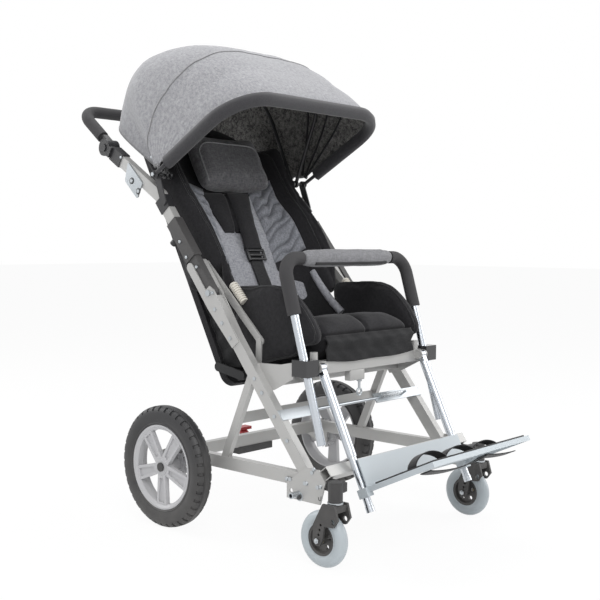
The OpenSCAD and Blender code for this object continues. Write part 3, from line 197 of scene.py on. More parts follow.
def hard_finish(name, light, dark, roughness, metallic=0.0, scale=400, bump=0.1, coat=0.0):
    """Paint, plastic, rubber or metal: a grained tone, an uneven gloss and a little dust low down."""
    material, tree = new_material(name)
    shader = tree.nodes["Principled BSDF"]
    shader.inputs["Metallic"].default_value = metallic
    shader.inputs["Coat Weight"].default_value = coat
    surface = add_node(tree, "Group", {"Scale": scale}, node_tree=grain)
    settled = add_node(tree, "Group", {"Reach": DUST_REACH}, node_tree=dust)
    tone = add_node(tree, "Mix", {6: (*dark, 1), 7: (*light, 1)}, data_type="RGBA")
    powder = add_node(tree, "Mix", {7: (0.40, 0.38, 0.35, 1)}, data_type="RGBA")
    thin = add_node(tree, "Math", {1: 0.22}, operation="MULTIPLY")
    gloss = add_node(tree, "MapRange", {"To Min": roughness[0], "To Max": roughness[1]})
    relief = add_node(tree, "Bump", {"Strength": bump, "Distance": 0.0004})
    join(
        tree, (surface, "Shade", tone, 0), (settled, "Mask", thin, 0), (thin, 0, powder, 0),
        (tone, 2, powder, 6), (powder, 2, shader, "Base Color"), (surface, "Shade", gloss, "Value"),
        (gloss, 0, shader, "Roughness"), (surface, "Height", relief, "Height"), (relief, 0, shader, "Normal"),
    )
    return material


def dress(material, *names):
    """Gives shown nodes of the part their finish."""
    for name in names:
        nodes[name].data.materials.clear()
        nodes[name].data.materials.append(material)


frame_coat = hard_finish(
    "frame_coat", (0.475, 0.472, 0.462), (0.415, 0.412, 0.402), (0.30, 0.42), 0.25, 900, 0.12, 0.15,
)
dress(
    frame_coat, "bottom_rail_left", "bottom_rail_right", "main_tube_left", "main_tube_right",
    "rear_cross_tube", "front_cross_tube", "rear_struts", "frame_plates", "fold_brackets", "seat_stays",
    "seat_side_plates", "seat_tubes", "push_tube_left", "push_tube_right",
)

# Fasteners and bungs: zinc plated bolts and rivets hold the plates, with black bungs in the open
# holes of the front plates and a stamped hook mark beside each caster.
AXLE_Y = 0.128205
PLATE_FACE = 0.2719
zinc = hard_finish("zinc_plate", (0.54, 0.57, 0.60), (0.40, 0.43, 0.45), (0.24, 0.38), 0.92, 260, 0.08)
black_plastic = hard_finish(
    "black_plastic", (0.024, 0.024, 0.026), (0.016, 0.016, 0.018), (0.38, 0.52), 0, 1100, 0.25,
)
dress(zinc, "frame_bolts", "brake_shaft", "lock_bar")


def fix(piece, body, slot):
    """Lets a piece ride on a body, where one is given. The slot is not used."""
    if body:
        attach(piece, body)


def add_mesh(name, mesh, material, body=None, slot=None, sharp=None):
    """Links the mesh as a piece, smooth shaded, with sharp edges past an angle if given."""
    mesh.materials.clear()
    mesh.materials.append(material)
    mesh.shade_smooth()
    if sharp is not None:
        mesh.set_sharp_from_angle(angle=math.radians(sharp))
    piece = bpy.data.objects.new(name, mesh)
    scene.collection.objects.link(piece)
    fix(piece, body, slot)
    return piece


def add_piece(name, bm, *looks):
    """Makes the built form a piece."""
    mesh = bpy.data.meshes.new(name)
    bm.to_mesh(mesh)
    bm.free()
    return add_mesh(name, mesh, *looks)


def turned(bm, start, end, radius, far_radius=None, sides=24, bevel=0.0):
    """A turned pin or disc from one point to another, with eased rims."""
    start, end = Vector(start), Vector(end)
    along = end - start
    turn = along.to_track_quat("Z", "Y").to_matrix().to_4x4()
    made = bmesh.ops.create_cone(
        bm, cap_ends=True, segments=sides, radius1=radius,
        radius2=radius if far_radius is None else far_radius, depth=along.length,
        matrix=Matrix.Translation((start + end) / 2) @ turn,
    )["verts"]
    if bevel:
        edges = {e for v in made for e in v.link_edges if len(e.link_faces) == 2}
        bmesh.ops.bevel(
            bm, geom=[e for e in edges if e.calc_face_angle(0) > 1.2], offset=bevel, segments=2, profile=0.5,
            affect="EDGES", material=-1,
        )


def side_pins(name, looks, height, pins, far_share=1.0, sides=20, bevel=0.0007):
    """Pins on both sides of the part: each has a radius, its face's x, y from the axle, and z."""
    bm = bmesh.new()
    for side in (-1, 1):
        for radius, x, y, z in pins:
            foot, tip = ((side * end, y + AXLE_Y, z) for end in (x, x + height))
            turned(bm, foot, tip, radius, far_share * radius, sides, bevel)
    add_piece(name, bm, *looks, 40)


in_zinc, in_black = (zinc, "chassis", "zinc"), (black_plastic, "chassis", "black_plastic")
rivet_places = ((-0.4472, 0.205), (-0.3657, 0.1713), (-0.4257, 0.1701), (-0.4667, 0.1698))
bung_place = (-0.4051, 0.1378)
plate_pins = [(0.0052, PLATE_FACE, *place) for place in rivet_places]
side_pins("plate_rivets", in_zinc, 0.0022, plate_pins, 38 / 52, bevel=0.0006)
side_pins("plate_bung_rims", in_zinc, 0.0016, [(0.0105, PLATE_FACE, *bung_place)], 1, 32, 0.0006)
side_pins("plate_bungs", in_black, 0.0041, [(0.0075, PLATE_FACE + 0.0015, *bung_place)], 68 / 75, 28, 0.0012)

HOOK_BEND, HOOK_DROP, HOOK_WIRE = 0.0035, 0.0015, 0.0008
bm = bmesh.new()
for side in (-1, 1):
    mark = Vector((side * (PLATE_FACE + 0.0002), -0.4646 + AXLE_Y, 0.1438))
    for way, top in ((-1, 0.005), (1, 0.002)):
        ends = [mark + Vector((0, way * HOOK_BEND, z)) for z in (top, -HOOK_DROP)]
        turned(bm, *ends, HOOK_WIRE, None, 8)
    for k in range(6):
        arc = [math.pi * (1 + step / 6) for step in (k, k + 1)]
        ends = [
            mark + Vector((0, HOOK_BEND * math.cos(a), HOOK_BEND * math.sin(a) - HOOK_DROP)) for a in arc
        ]
        turned(bm, *ends, HOOK_WIRE, None, 8)
add_piece("plate_hook_marks", bm, black_plastic, "chassis", "black_plastic", 40)

# Rear wheels: black rubber tyres with cut shoulder blocks on five-spoke grey nylon rims, held on
# quick-release axles under black caps.
LEFT_RIGHT = ((1, "left"), (-1, "right"))
WHEEL_X, WHEEL_RADIUS, TYRE_STEPS = 0.3145, 0.150, 120
tyre_rubber = hard_finish(
    "tyre_rubber", (0.027, 0.027, 0.029), (0.016, 0.016, 0.018), (0.42, 0.60), 0, 700, 0.3,
)
rim_nylon = hard_finish("rim_nylon", (0.52, 0.52, 0.53), (0.46, 0.46, 0.475), (0.36, 0.48), 0, 900, 0.15)
dress(rim_nylon, "rear_rim_left", "rear_rim_right")
dress(black_plastic, "rear_axles", "brake_housing")
half_profile = (
    (-0.0190, 0.1043), (-0.0216, 0.1080), (-0.0206, 0.1105), (-0.0228, 0.1160), (-0.0236, 0.1240),
    (-0.0234, 0.1320), (-0.0218, 0.1385), (-0.0196, 0.1430), (-0.0150, 0.1472), (-0.0105, 0.1490),
    (-0.0090, 0.1476), (-0.0070, 0.1476), (-0.0055, 0.1497),
)
profile = [*half_profile, *((-x, r) for x, r in reversed(half_profile))]
for side, hand in LEFT_RIGHT:
    centre = Vector((side * WHEEL_X, AXLE_Y, WHEEL_RADIUS))
    bm = bmesh.new()
    line = [bm.verts.new(centre + Vector((x, 0, r))) for x, r in profile]
    edges = [bm.edges.new(pair) for pair in zip(line, line[1:])]
    bmesh.ops.spin(
        bm, geom=line + edges, cent=centre, axis=(1, 0, 0), angle=math.tau, steps=TYRE_STEPS,
        use_merge=True,
    )
    bmesh.ops.remove_doubles(bm, verts=bm.verts, dist=1e-6)
    bmesh.ops.recalc_face_normals(bm, faces=bm.faces)
    cuts = []
    for face in bm.faces:
        middle = face.calc_center_median() - centre
        step = int((math.atan2(middle.y, middle.z) / math.tau % 1) * TYRE_STEPS)
        on_shoulder = 0.1395 < middle.yz.length < 0.1485 and abs(middle.x) > 0.0125
        if on_shoulder and step % 3 == 0:
            cuts.append(face)
    bmesh.ops.inset_region(bm, faces=cuts, thickness=0.0009, depth=-0.0026, use_even_offset=True)
    tyre = add_piece(f"rear_tread_{hand}", bm, tyre_rubber, f"rear_wheel_{hand}", "black_rubber", 38)
    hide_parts(f"rear_tyre_{hand}")

# Casters: dark nylon forks turn on steel stems in housings at the front corners. Pale grey rubber
# tyres run on black hubs, with zinc bolts, zinc washers and brass bearing rings.
CASTER_X, STEM_Y, CASTER_Y, CASTER_RADIUS = 0.2835, -0.519, -0.488, 0.0625
fork_nylon = hard_finish(
    "fork_nylon", (0.036, 0.035, 0.036), (0.026, 0.025, 0.026), (0.42, 0.56), 0, 1000, 0.3,
)
pale_rubber = hard_finish(
    "pale_rubber", (0.47, 0.52, 0.55), (0.40, 0.45, 0.48), (0.34, 0.46), 0, 500, 0.12, 0.1,
)
brass = hard_finish("bearing_brass", (0.55, 0.46, 0.24), (0.42, 0.34, 0.17), (0.28, 0.42), 0.9, 300, 0.1)
dress(fork_nylon, "caster_fork_left", "caster_fork_right", "caster_hub_left", "caster_hub_right")
dress(pale_rubber, "caster_tyre_left", "caster_tyre_right")
dress(black_plastic, "caster_housings")


def axle_discs(bm, axle, start, end, *form):
    """The same disc at both ends of an axle, between two distances from its middle."""
    for way in (-1, 1):
        turned(bm, *(axle + Vector((way * x, 0, 0)) for x in (start, end)), *form)


for side, hand in LEFT_RIGHT:
    stem = Vector((side * CASTER_X, STEM_Y + AXLE_Y, 0))
    axle = Vector((side * CASTER_X, CASTER_Y + AXLE_Y, CASTER_RADIUS))
    bm = bmesh.new()
    turned(bm, stem + Vector((0, 0, 0.1446)), stem + Vector((0, 0, 0.1484)), 0.0176, None, 40, 0.0005)
    add_piece(f"caster_washer_{hand}", bm, zinc, f"caster_{hand}", "zinc", 40)
    bm = bmesh.new()
    axle_discs(bm, axle, 0.0241, 0.0282, 0.0072, 0.0062, 6, 0.0008)
    axle_discs(bm, axle, 0.0281, 0.0302, 0.0034, 0.0028, 16, 0.0004)
    add_piece(f"caster_bolt_{hand}", bm, zinc, f"caster_{hand}", "zinc", 40)
    bm = bmesh.new()
    axle_discs(bm, axle, 0.0128, 0.0158, 0.0098, 0.0094, 28, 0.0004)
    add_piece(f"caster_bearing_{hand}", bm, brass, f"caster_wheel_{hand}", "zinc", 40)

# Foot brake: a red nylon pedal turns a steel shaft with a pawl at each wheel, in a black housing
# screwed under the rear cross tube.
pedal_nylon = hard_finish(
    "pedal_nylon", (0.60, 0.035, 0.045), (0.48, 0.025, 0.032), (0.34, 0.46), 0, 900, 0.2,
)
dress(pedal_nylon, "brake_pedal")

# Cross rod: a zinc rod with flat end plates joins the main tubes, and a tension spring of bright
# wire hangs in its pegs.
wire_steel = hard_finish(
    "spring_wire", (0.50, 0.51, 0.52), (0.36, 0.37, 0.38), (0.20, 0.34), 0.95, 500, 0.05,
)
MAIN_SLOPE = math.radians(51.4)
CURLS, STEPS_PER_CURL, WIRE, COIL = 12, 24, 0.002, 0.0055
COIL_START, COIL_END = 0.100, 0.188
spring_low, spring_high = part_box("lock_spring")
coil_mid = (spring_low + spring_high) / 2
coil_top = coil_mid + Vector((0, -math.sin(MAIN_SLOPE), math.cos(MAIN_SLOPE))) * COIL
bm = bmesh.new()
ring = bmesh.ops.create_circle(
    bm, segments=10, radius=WIRE / 2,
    matrix=Matrix.Translation((COIL_START, *coil_top.yz)) @ Matrix.Rotation(MAIN_SLOPE, 4, "X"),
)["verts"]
edges = list({e for v in ring for e in v.link_edges})
turns = STEPS_PER_CURL * CURLS
bmesh.ops.spin(
    bm, geom=ring + edges, cent=(0, *coil_mid.yz), axis=(1, 0, 0), angle=math.tau * CURLS, steps=turns,
    dvec=((COIL_END - COIL_START) / turns, 0, 0),
)
bmesh.ops.remove_doubles(bm, verts=bm.verts, dist=1e-6)
for start, end in ((COIL_START, spring_low.x), (COIL_END, spring_high.x)):
    turned(bm, (start, *coil_top.yz), (end, *coil_top.yz), WIRE / 2, None, 10)
bmesh.ops.recalc_face_normals(bm, faces=bm.faces)
spring = add_piece("cross_rod_spring", bm, wire_steel, "chassis", "zinc", 60)
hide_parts("lock_spring")

# Seat base: a black board on the seat tubes between the side plates. A coated steel block with a zinc
# eye bolt is welded under the front tube.
seat_shell = hard_finish(
    "seat_shell", (0.020, 0.020, 0.022), (0.013, 0.013, 0.014), (0.60, 0.75), 0, 800, 0.3,
)
dress(seat_shell, "seat_board")
EYE_X, EYE_Y = -0.030, AXLE_Y - 0.378
bm = bmesh.new()
block = bmesh.ops.create_cube(bm, size=1)["verts"]
bmesh.ops.scale(bm, vec=(0.055, 0.018, 0.026), verts=block)
bmesh.ops.translate(bm, vec=(EYE_X - 0.0175, EYE_Y, 0.387), verts=block)
bmesh.ops.bevel(
    bm, geom=bm.edges[:], offset=0.002, segments=3, profile=0.5, affect="EDGES", material=-1,
)
add_piece("eye_bolt_block", bm, frame_coat, "chassis", "frame_grey", 40)
bm = bmesh.new()
turned(bm, (EYE_X, EYE_Y, 0.376), (EYE_X, EYE_Y, 0.352), 0.0032, None, 16)
turned(bm, (EYE_X, EYE_Y, 0.374), (EYE_X, EYE_Y, 0.369), 0.0068, None, 6, 0.0006)
eye = bmesh.ops.create_circle(
    bm, segments=12, radius=0.0026,
    matrix=Matrix.Translation((EYE_X, EYE_Y, 0.3515)) @ Matrix.Rotation(math.pi / 2, 4, "Y"),
)["verts"]
bmesh.ops.spin(
    bm, geom=eye + list({e for v in eye for e in v.link_edges}), cent=(EYE_X, EYE_Y, 0.3435),
    axis=(0, 1, 0), angle=math.tau, steps=28, use_merge=True,
)
bmesh.ops.remove_doubles(bm, verts=bm.verts, dist=1e-6)
bmesh.ops.recalc_face_normals(bm, faces=bm.faces)
add_piece("eye_bolt", bm, zinc, "chassis", "zinc", 40)

# Seat cushion and hip guards: foam in black woven covers. The cushion's front roll is sewn down
# the middle, and the guards are piped round their edges.
weave, entry, result = node_group("heather_weave", [("Scale", 260), ("Contrast", 2)], ["Shade", "Height"])
place = add_node(weave, "TexCoord")
crossed = add_node(weave, "Mix", {0: 0.5})
centred = add_node(weave, "Math", {1: 0.5}, operation="SUBTRACT")
stronger = add_node(weave, "Math", operation="MULTIPLY")
lifted = add_node(weave, "Math", {1: 0.5}, operation="ADD", use_clamp=True)
for socket, stretch in ((2, (1, 0.3, 0.3)), (3, (0.3, 1, 1))):
    run = add_node(weave, "Mapping", {"Scale": stretch})
    yarn = add_node(weave, "TexNoise", {"Detail": 3})
    join(
        weave, (place, "Object", run, "Vector"), (run, 0, yarn, "Vector"), (entry, "Scale", yarn, "Scale"),
        (yarn, "Fac", crossed, socket),
    )
join(
    weave, (crossed, 0, centred, 0), (centred, 0, stronger, 0), (entry, "Contrast", stronger, 1),
    (stronger, 0, lifted, 0), (lifted, 0, result, "Shade"), (crossed, 0, result, "Height"),
)


def cloth_finish(name, light, dark, scale=260, contrast=3.0, bump=0.35, sheen=0.25, folds=None):
    """Woven cover: two-tone crossed yarns, a soft sheen, and painted shade where a fold attribute is low."""
    material, tree = new_material(name)
    shader = tree.nodes["Principled BSDF"]
    shader.inputs["Sheen Weight"].default_value = sheen
    shader.inputs["Sheen Roughness"].default_value = 0.5
    shader.inputs["Specular IOR Level"].default_value = 0.25
    yarn = add_node(tree, "Group", {"Scale": scale, "Contrast": contrast}, node_tree=weave)
    tone = add_node(tree, "Mix", {6: (*dark, 1), 7: (*light, 1)}, data_type="RGBA")
    gloss = add_node(tree, "MapRange", {"To Min": 0.92, "To Max": 0.78})
    relief = add_node(tree, "Bump", {"Strength": bump, "Distance": 0.0008})
    join(
        tree, (yarn, "Shade", tone, 0), (yarn, "Shade", gloss, "Value"), (gloss, 0, shader, "Roughness"),
        (yarn, "Height", relief, "Height"), (relief, 0, shader, "Normal"),
    )
    # Painted shade: where the fold attribute is low, the colour falls towards half the dark tone.
    if folds:
        height = add_node(tree, "Attribute", attribute_name=folds)
        shaded = add_node(tree, "Mix", {6: (*(0.5 * c for c in dark), 1)}, data_type="RGBA")
        join(tree, (height, "Fac", shaded, 0), (tone, 2, shaded, 7), (shaded, 2, shader, "Base Color"))
    else:
        join(tree, (tone, 2, shader, "Base Color"))
    return material


black_cloth = cloth_finish("black_cloth", (0.021, 0.020, 0.023), (0.010, 0.010, 0.011), 420, 2.5, 0.35, 0.12)
piping_cloth = cloth_finish("piping_cloth", (0.016, 0.016, 0.018), (0.008, 0.008, 0.009), 700, 2.0)


def finished(piece):
    """The piece as its modifiers leave it."""
    return piece.evaluated_get(bpy.context.evaluated_depsgraph_get())


def soft_copy(name, node, material, inset, voxel, rounds):
    """The node's own form, welded, drawn in, and remeshed into an even cloth."""
    bm = bmesh.new()
    bm.from_mesh(nodes[node].data)
    bmesh.ops.remove_doubles(bm, verts=bm.verts, dist=1e-5)
    bmesh.ops.recalc_face_normals(bm, faces=bm.faces)
    bm.normal_update()
    for v in bm.verts:
        v.co -= v.normal * inset
    piece = add_piece(name, bm, material)
    even = piece.modifiers.new("even_cloth", "REMESH")
    even.mode = "VOXEL"
    even.voxel_size = voxel
    ease = piece.modifiers.new("ease", "SMOOTH")
    ease.factor = 0.5
    ease.iterations = rounds
    shape = bpy.data.meshes.new_from_object(finished(piece))
    piece.modifiers.clear()
    piece.data = shape
    shape.shade_smooth()
    return piece


def mesh_points(mesh, layer="co"):
    """The places or normals of a mesh's points, one row each."""
    values = np.empty(len(mesh.vertices) * 3)
    mesh.vertices.foreach_get(layer, values)
    return values.reshape(-1, 3)


def points_of(piece):
    return mesh_points(piece.data)


def put_points(piece, co):
    piece.data.vertices.foreach_set("co", co.ravel())
    piece.data.update()


CLOTH_PRESSURE, CLOTH_FRAMES = 4, 20


def inflate(pieces, cap):
    """Fills the covers: a few frames of cloth under pressure, with each point's travel capped."""
    for piece in pieces:
        cloth = piece.modifiers.new("fill", "CLOTH")
        cloth.settings.quality = 4
        cloth.settings.mass = 0.3
        cloth.settings.use_pressure = True
        cloth.settings.uniform_pressure_force = CLOTH_PRESSURE
        cloth.settings.effector_weights.gravity = 0
        cloth.collision_settings.use_collision = False
        cloth.point_cache.frame_start = 1
        cloth.point_cache.frame_end = CLOTH_FRAMES
    for step in range(1, CLOTH_FRAMES + 1):
        scene.frame_set(step)
    filled = [mesh_points(finished(piece).data) for piece in pieces]
    for piece, co in zip(pieces, filled):
        piece.modifiers.clear()
        start = points_of(piece)
        travel = co - start
        length = np.linalg.norm(travel, axis=1, keepdims=True)
        put_points(piece, start + travel * np.minimum(1, cap / np.maximum(length, 1e-9)))
    scene.frame_set(1)


def carve(piece, depth):
    """Presses points in along their normals by a depth for each point: seams, channels and creases."""
    put_points(piece, points_of(piece) - mesh_points(piece.data, "normal") * depth[:, None])


def creases(co, size, depth, seed):
    """Small uneven wrinkles of a cover over foam."""
    return np.array([noise.noise(Vector(p) / size + Vector((seed, 0, 0))) for p in co]) * depth


def upholster(pad, node, body, slot):
    """Refines a filled cover and puts it in its node's place."""
    fine = pad.modifiers.new("fine_cloth", "SUBSURF")
    fine.levels = fine.render_levels = 1
    fix(pad, body, slot)
    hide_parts(node)


def skin_of(piece):
    """The piece's finished surface, for laying other pieces on it."""
    bm = bmesh.new()
    bm.from_mesh(finished(piece).data)
    skin = BVHTree.FromBMesh(bm)
    bm.free()
    return skin


def resting(skin, above, below, lift):
    """The first point of a skin from above to below, or else the nearest one, raised by the lift."""
    way = (below - above).normalized()
    spot = skin.ray_cast(above, way)[0]
    if spot is None:
        spot = skin.find_nearest(below)[0]
    return spot - way * lift


def laid_grid(name, material, columns, rows, place, thickness, outward, offset=-1.0):
    """A sheet over a grid of places, with its thickness under the face that points outward."""
    bm = bmesh.new()
    bmesh.ops.create_grid(bm, x_segments=columns, y_segments=rows, size=0.5)
    for v in bm.verts:
        v.co = place(v.co.x + 0.5, v.co.y + 0.5)
    bm.normal_update()
    if sum((f.normal for f in bm.faces), Vector()).dot(Vector(outward)) < 0:
        bmesh.ops.reverse_faces(bm, faces=bm.faces)
    piece = add_piece(name, bm, material)
    wall = piece.modifiers.new("cloth_wall", "SOLIDIFY")
    wall.thickness = thickness
    wall.offset = offset
    return piece


def crowned(a, b, power=6):
    """How full a sewn-on pad is at a share of its width and length: 1 in the middle, 0 at its edge."""
    return (1 - abs(2 * a - 1) ** power) * (1 - abs(2 * b - 1) ** power)


def piping(name, points, radius, material, body, slot, closed=False):
    """A sewn cord along a seam."""
    curve = bpy.data.curves.new(name, "CURVE")
    curve.dimensions = "3D"
    curve.bevel_depth = radius
    curve.bevel_resolution = 2
    curve.use_fill_caps = True
    spline = curve.splines.new("NURBS")
    spline.points.add(len(points) - 1)
    for control, p in zip(spline.points, points):
        control.co = (*p, 1)
    spline.order_u = 3
    spline.resolution_u = 4
    spline.use_cyclic_u = closed
    spline.use_endpoint_u = not closed
    rope = bpy.data.objects.new(name + "_line", curve)
    scene.collection.objects.link(rope)
    shape = bpy.data.meshes.new_from_object(finished(rope))
    bpy.data.objects.remove(rope)
    shape.name = name
    return add_mesh(name, shape, material, body, slot)


def leaning(origin_y, origin_z, lean):
    """For a plane that leans back: the point at x, up and forward, and how far up and forward points lie."""
    cos, sin = math.cos(math.radians(lean)), math.sin(math.radians(lean))

    def point(x, up, forward):
        return Vector((x, origin_y + up * sin - forward * cos, origin_z + up * cos + forward * sin))

    def places(co):
        y, z = co[:, 1] - origin_y, co[:, 2] - origin_z
        return y * sin + z * cos, z * sin - y * cos

    return point, places


seat_at, seat_places = leaning(0.048205, 0.375, 10.8)


def groove(distance, width):
    """How deep a sewn groove is, at a distance from its middle line: 1 on the line, 0 far from it."""
    return np.exp(-(distance / width) ** 2)


seat_pad = soft_copy("seat_pad", "seat_cushion", black_cloth, 0.004, 0.005, 14)
guards = {
    hand: soft_copy(f"hip_pad_{hand}", f"hip_guard_{hand}", black_cloth, 0.003, 0.005, 8)
    for hand in ("left", "right")
}
inflate([seat_pad, *guards.values()], 0.006)
BLOCK_SEAM, ROLL_SEAM = 0.052, 0.240
co = points_of(seat_pad)
t, s = seat_places(co)
front = np.clip((s - 0.27) / 0.03, 0, 1)
depth = 0.007 * groove(co[:, 0], 0.0045) * (s > 0.17) * (t > 0.05)
depth += 0.007 * groove(t - BLOCK_SEAM, 0.005) * front
depth += 0.010 * np.clip((BLOCK_SEAM - t) / 0.03, 0, 1) * front
depth += 0.006 * groove(s - ROLL_SEAM, 0.006) * (t > 0.07)
carve(seat_pad, depth + creases(co, 0.05, 0.0018, 3))
upholster(seat_pad, "seat_cushion", "chassis", "black_fabric")
for hand, pad in guards.items():
    carve(pad, creases(points_of(pad), 0.06, 0.0018, 5))
    upholster(pad, f"hip_guard_{hand}", "chassis", "black_fabric")

GUARD_MIDDLE = np.array((0.110, 0.200))
OUTSIDE = 1.3
guard_edge = np.array((
    (0.211, 0.070), (0.209, 0.128), (0.201, 0.206), (0.178, 0.262), (0.130, 0.306), (0.072, 0.334),
    (0.040, 0.332), (0.029, 0.302), (0.026, 0.276), (0.008, 0.258), (0.005, 0.170), (0.005, 0.084),
    (0.060, 0.062), (0.160, 0.056),
))
for side, hand in LEFT_RIGHT:
    skin = skin_of(guards[hand])
    for place, x in (("inner", 0.1835), ("outer", 0.2005)):
        line = []
        for corner, following in zip(guard_edge, np.roll(guard_edge, -1, axis=0)):
            for part in (0, 0.5):
                rim = corner + (following - corner) * part
                outside = seat_at(side * x, *(GUARD_MIDDLE + OUTSIDE * (rim - GUARD_MIDDLE)))
                line.append(resting(skin, outside, seat_at(side * x, *GUARD_MIDDLE), 0.0005))
        piping(f"guard_cord_{place}_{hand}", line, 0.0021, piping_cloth, "chassis", "black_fabric", True)

# Seat apron: thin black cloth, sewn to the cushion's front seam and hung in a loose fold over the
# board's edge.
thin_cloth = cloth_finish(
    "thin_black_cloth", (0.017, 0.017, 0.018), (0.008, 0.008, 0.009), 520, 2.5, 0.25, 0.1,
)


def apron_place(a, b):
    fold = 0.007 * groove(b - 0.28, 0.14) - 0.003 * groove(b - 0.58, 0.10)
    wave = 0.0012 * math.sin(17 * a + 3 * b) + 0.0006 * math.sin(41 * a - 9 * b)
    sag = 0.008 * b * math.sin(math.pi * a) * (1 + 0.3 * math.sin(9 * a))
    return seat_at(-0.168 + 0.336 * a, 0.053 - 0.058 * b - sag, 0.3225 - 0.004 * b + fold + wave)


apron = laid_grid("seat_apron", thin_cloth, 90, 18, apron_place, 0.0014, (0, -1, 0))
fix(apron, "chassis", "black_fabric")

# Backrest: a covered board on hinge pins, a pad with deep side wings that are piped along their
# edges, and a head cushion in dark heather cloth. All are foam in sewn covers.
head_cloth = cloth_finish("head_cloth", (0.145, 0.144, 0.150), (0.068, 0.067, 0.072), 300, 3.5)
edge_cloth = cloth_finish("head_edge_cloth", (0.27, 0.27, 0.275), (0.16, 0.16, 0.165), 420, 2.5)
dress(black_cloth, "backrest_panel")
BACK_LEAN = 28
BACK_FACE = (0, -math.cos(math.radians(BACK_LEAN)), math.sin(math.radians(BACK_LEAN)))
back_at, back_places = leaning(0.061205, 0.350, BACK_LEAN)
back_pad = soft_copy("back_pad", "backrest_pad", black_cloth, 0.004, 0.006, 12)
head_pad = soft_copy("head_pad", "head_cushion", head_cloth, 0.003, 0.005, 10)
inflate([back_pad, head_pad], 0.006)
wing_seams = (("inner", 0.188), ("outer", 0.209))
co = points_of(back_pad)
u, n = back_places(co)
on_wing = (n > 0.06) * (u > 0.225)
depth = sum(0.003 * groove(np.abs(co[:, 0]) - x, 0.0035) * on_wing for place, x in wing_seams)
carve(back_pad, depth + creases(co, 0.07, 0.0020, 7))
carve(head_pad, creases(points_of(head_pad), 0.05, 0.0014, 9))
upholster(back_pad, "backrest_pad", "backrest", "black_fabric")
upholster(head_pad, "head_cushion", "backrest", "grey_fabric")
back_skin, head_skin = skin_of(back_pad), skin_of(head_pad)


def on_back(x, u, lift):
    """A point on the front of the back pad, raised by the lift."""
    return resting(back_skin, back_at(x, u, 0.32), back_at(x, u, 0.03), lift)


def top_place(a, b):
    arch = (1 - abs(2 * a - 1) ** 2.6) ** 0.7
    swell = 0.014 * math.sin(math.pi * b) * arch
    return back_at(0.196 * (2 * a - 1), 0.640 + (0.030 + 0.078 * arch) * b, 0.026 + 0.010 * b + swell)


back_top = laid_grid("back_top", black_cloth, 60, 24, top_place, 0.012, BACK_FACE)
fix(back_top, "backrest", "black_fabric")
for side, hand in LEFT_RIGHT:
    for place, x in wing_seams:
        line = [on_back(side * x, u, 0.0004) for u in np.linspace(0.232, 0.655, 24)]
        piping(f"wing_cord_{place}_{hand}", line, 0.0023, piping_cloth, "backrest", "black_fabric")
HEAD_LOW, HEAD_HIGH = 0.497, 0.632
HEAD_HALF, HEAD_RISE, HEAD_MIDDLE = 0.112, (HEAD_HIGH - HEAD_LOW) / 2, (HEAD_LOW + HEAD_HIGH) / 2
BORDER_POINTS, BORDER_POWER = 48, 5
border = []
for k in range(BORDER_POINTS):
    turn = math.tau * k / BORDER_POINTS
    c, d = math.cos(turn), math.sin(turn)
    r = (abs(c) ** BORDER_POWER + abs(d) ** BORDER_POWER) ** (-1 / BORDER_POWER)
    x, u = HEAD_HALF * r * c, HEAD_MIDDLE + HEAD_RISE * r * d
    border.append(resting(head_skin, back_at(x, u, 0.34), back_at(x, u, 0.05), 0.0004))
piping("head_cord", border, 0.0022, edge_cloth, "backrest", "grey_fabric", True)

# Side webs: thin black cloth that closes the corner between each hip guard and the back board, sewn to both.
WEB_X = 0.1785
for side, hand in LEFT_RIGHT:
    def web_place(a, b, side=side):
        guard = seat_at(side * WEB_X, 0.008 + 0.190 * b, 0.078 - 0.018 * b)
        board = back_at(side * WEB_X, 0.030 + 0.200 * b, 0.022)
        slack = 0.006 * math.sin(math.pi * a) * math.sin(math.pi * b) + 0.002 * math.sin(26 * b + 5 * a)
        return guard.lerp(board, a) + Vector((side * slack, 0, 0))

    web = laid_grid(f"side_web_{hand}", thin_cloth, 30, 40, web_place, 0.0014, (side, 0, 0))
    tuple(seat_at(0, 0.1, 0.068))
    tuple(back_at(0, 0.130, 0.022))
    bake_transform(web)

# Wing tails: soft black cloth over thin foam, sewn to the foot of each wing and to the hip guard under it.
WING_FOOT, TAIL_END = 0.268, 0.178
for side, hand in LEFT_RIGHT:
    def tail_place(a, b, side=side):
        top = on_back(side * (0.160 + 0.052 * a), WING_FOOT, 0.0015)
        low = back_at(side * (0.168 + 0.036 * a), TAIL_END, 0.150 - 0.030 * abs(2 * a - 1) ** 3)
        return top.lerp(low, b) + Vector(BACK_FACE) * (0.006 * crowned(a, b, 4) * math.sin(math.pi * b))

    tail = laid_grid(f"wing_tail_{hand}", black_cloth, 24, 40, tail_place, 0.010, BACK_FACE)
    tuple(back_at(0, 0.180, 0.120))
    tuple(back_at(0, 0.266, 0.120))
    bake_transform(tail)

# Back liner, corner liners and hip rolls: the liner of pale heather cloth is sewn flat down the middle
# of the pad. A black corner liner crosses to each hip guard, with a pale roll sewn along its edge.
liner_cloth = cloth_finish("liner_cloth", (0.42, 0.425, 0.455), (0.24, 0.245, 0.270), 380, 4.0, 0.4)
LINER_FOOT, LINER_LENGTH = 0.128, 0.380


def liner_place(a, b):
    u = LINER_FOOT + LINER_LENGTH * b
    half = 0.088 + 0.050 * min(1, max(0, (0.275 - u) / 0.05))
    x = half * (2 * a - 1) + 0.003 * math.sin(40 * u)
    return on_back(x, u, 0.003 + 0.0012 * math.sin(90 * x + 33 * u))


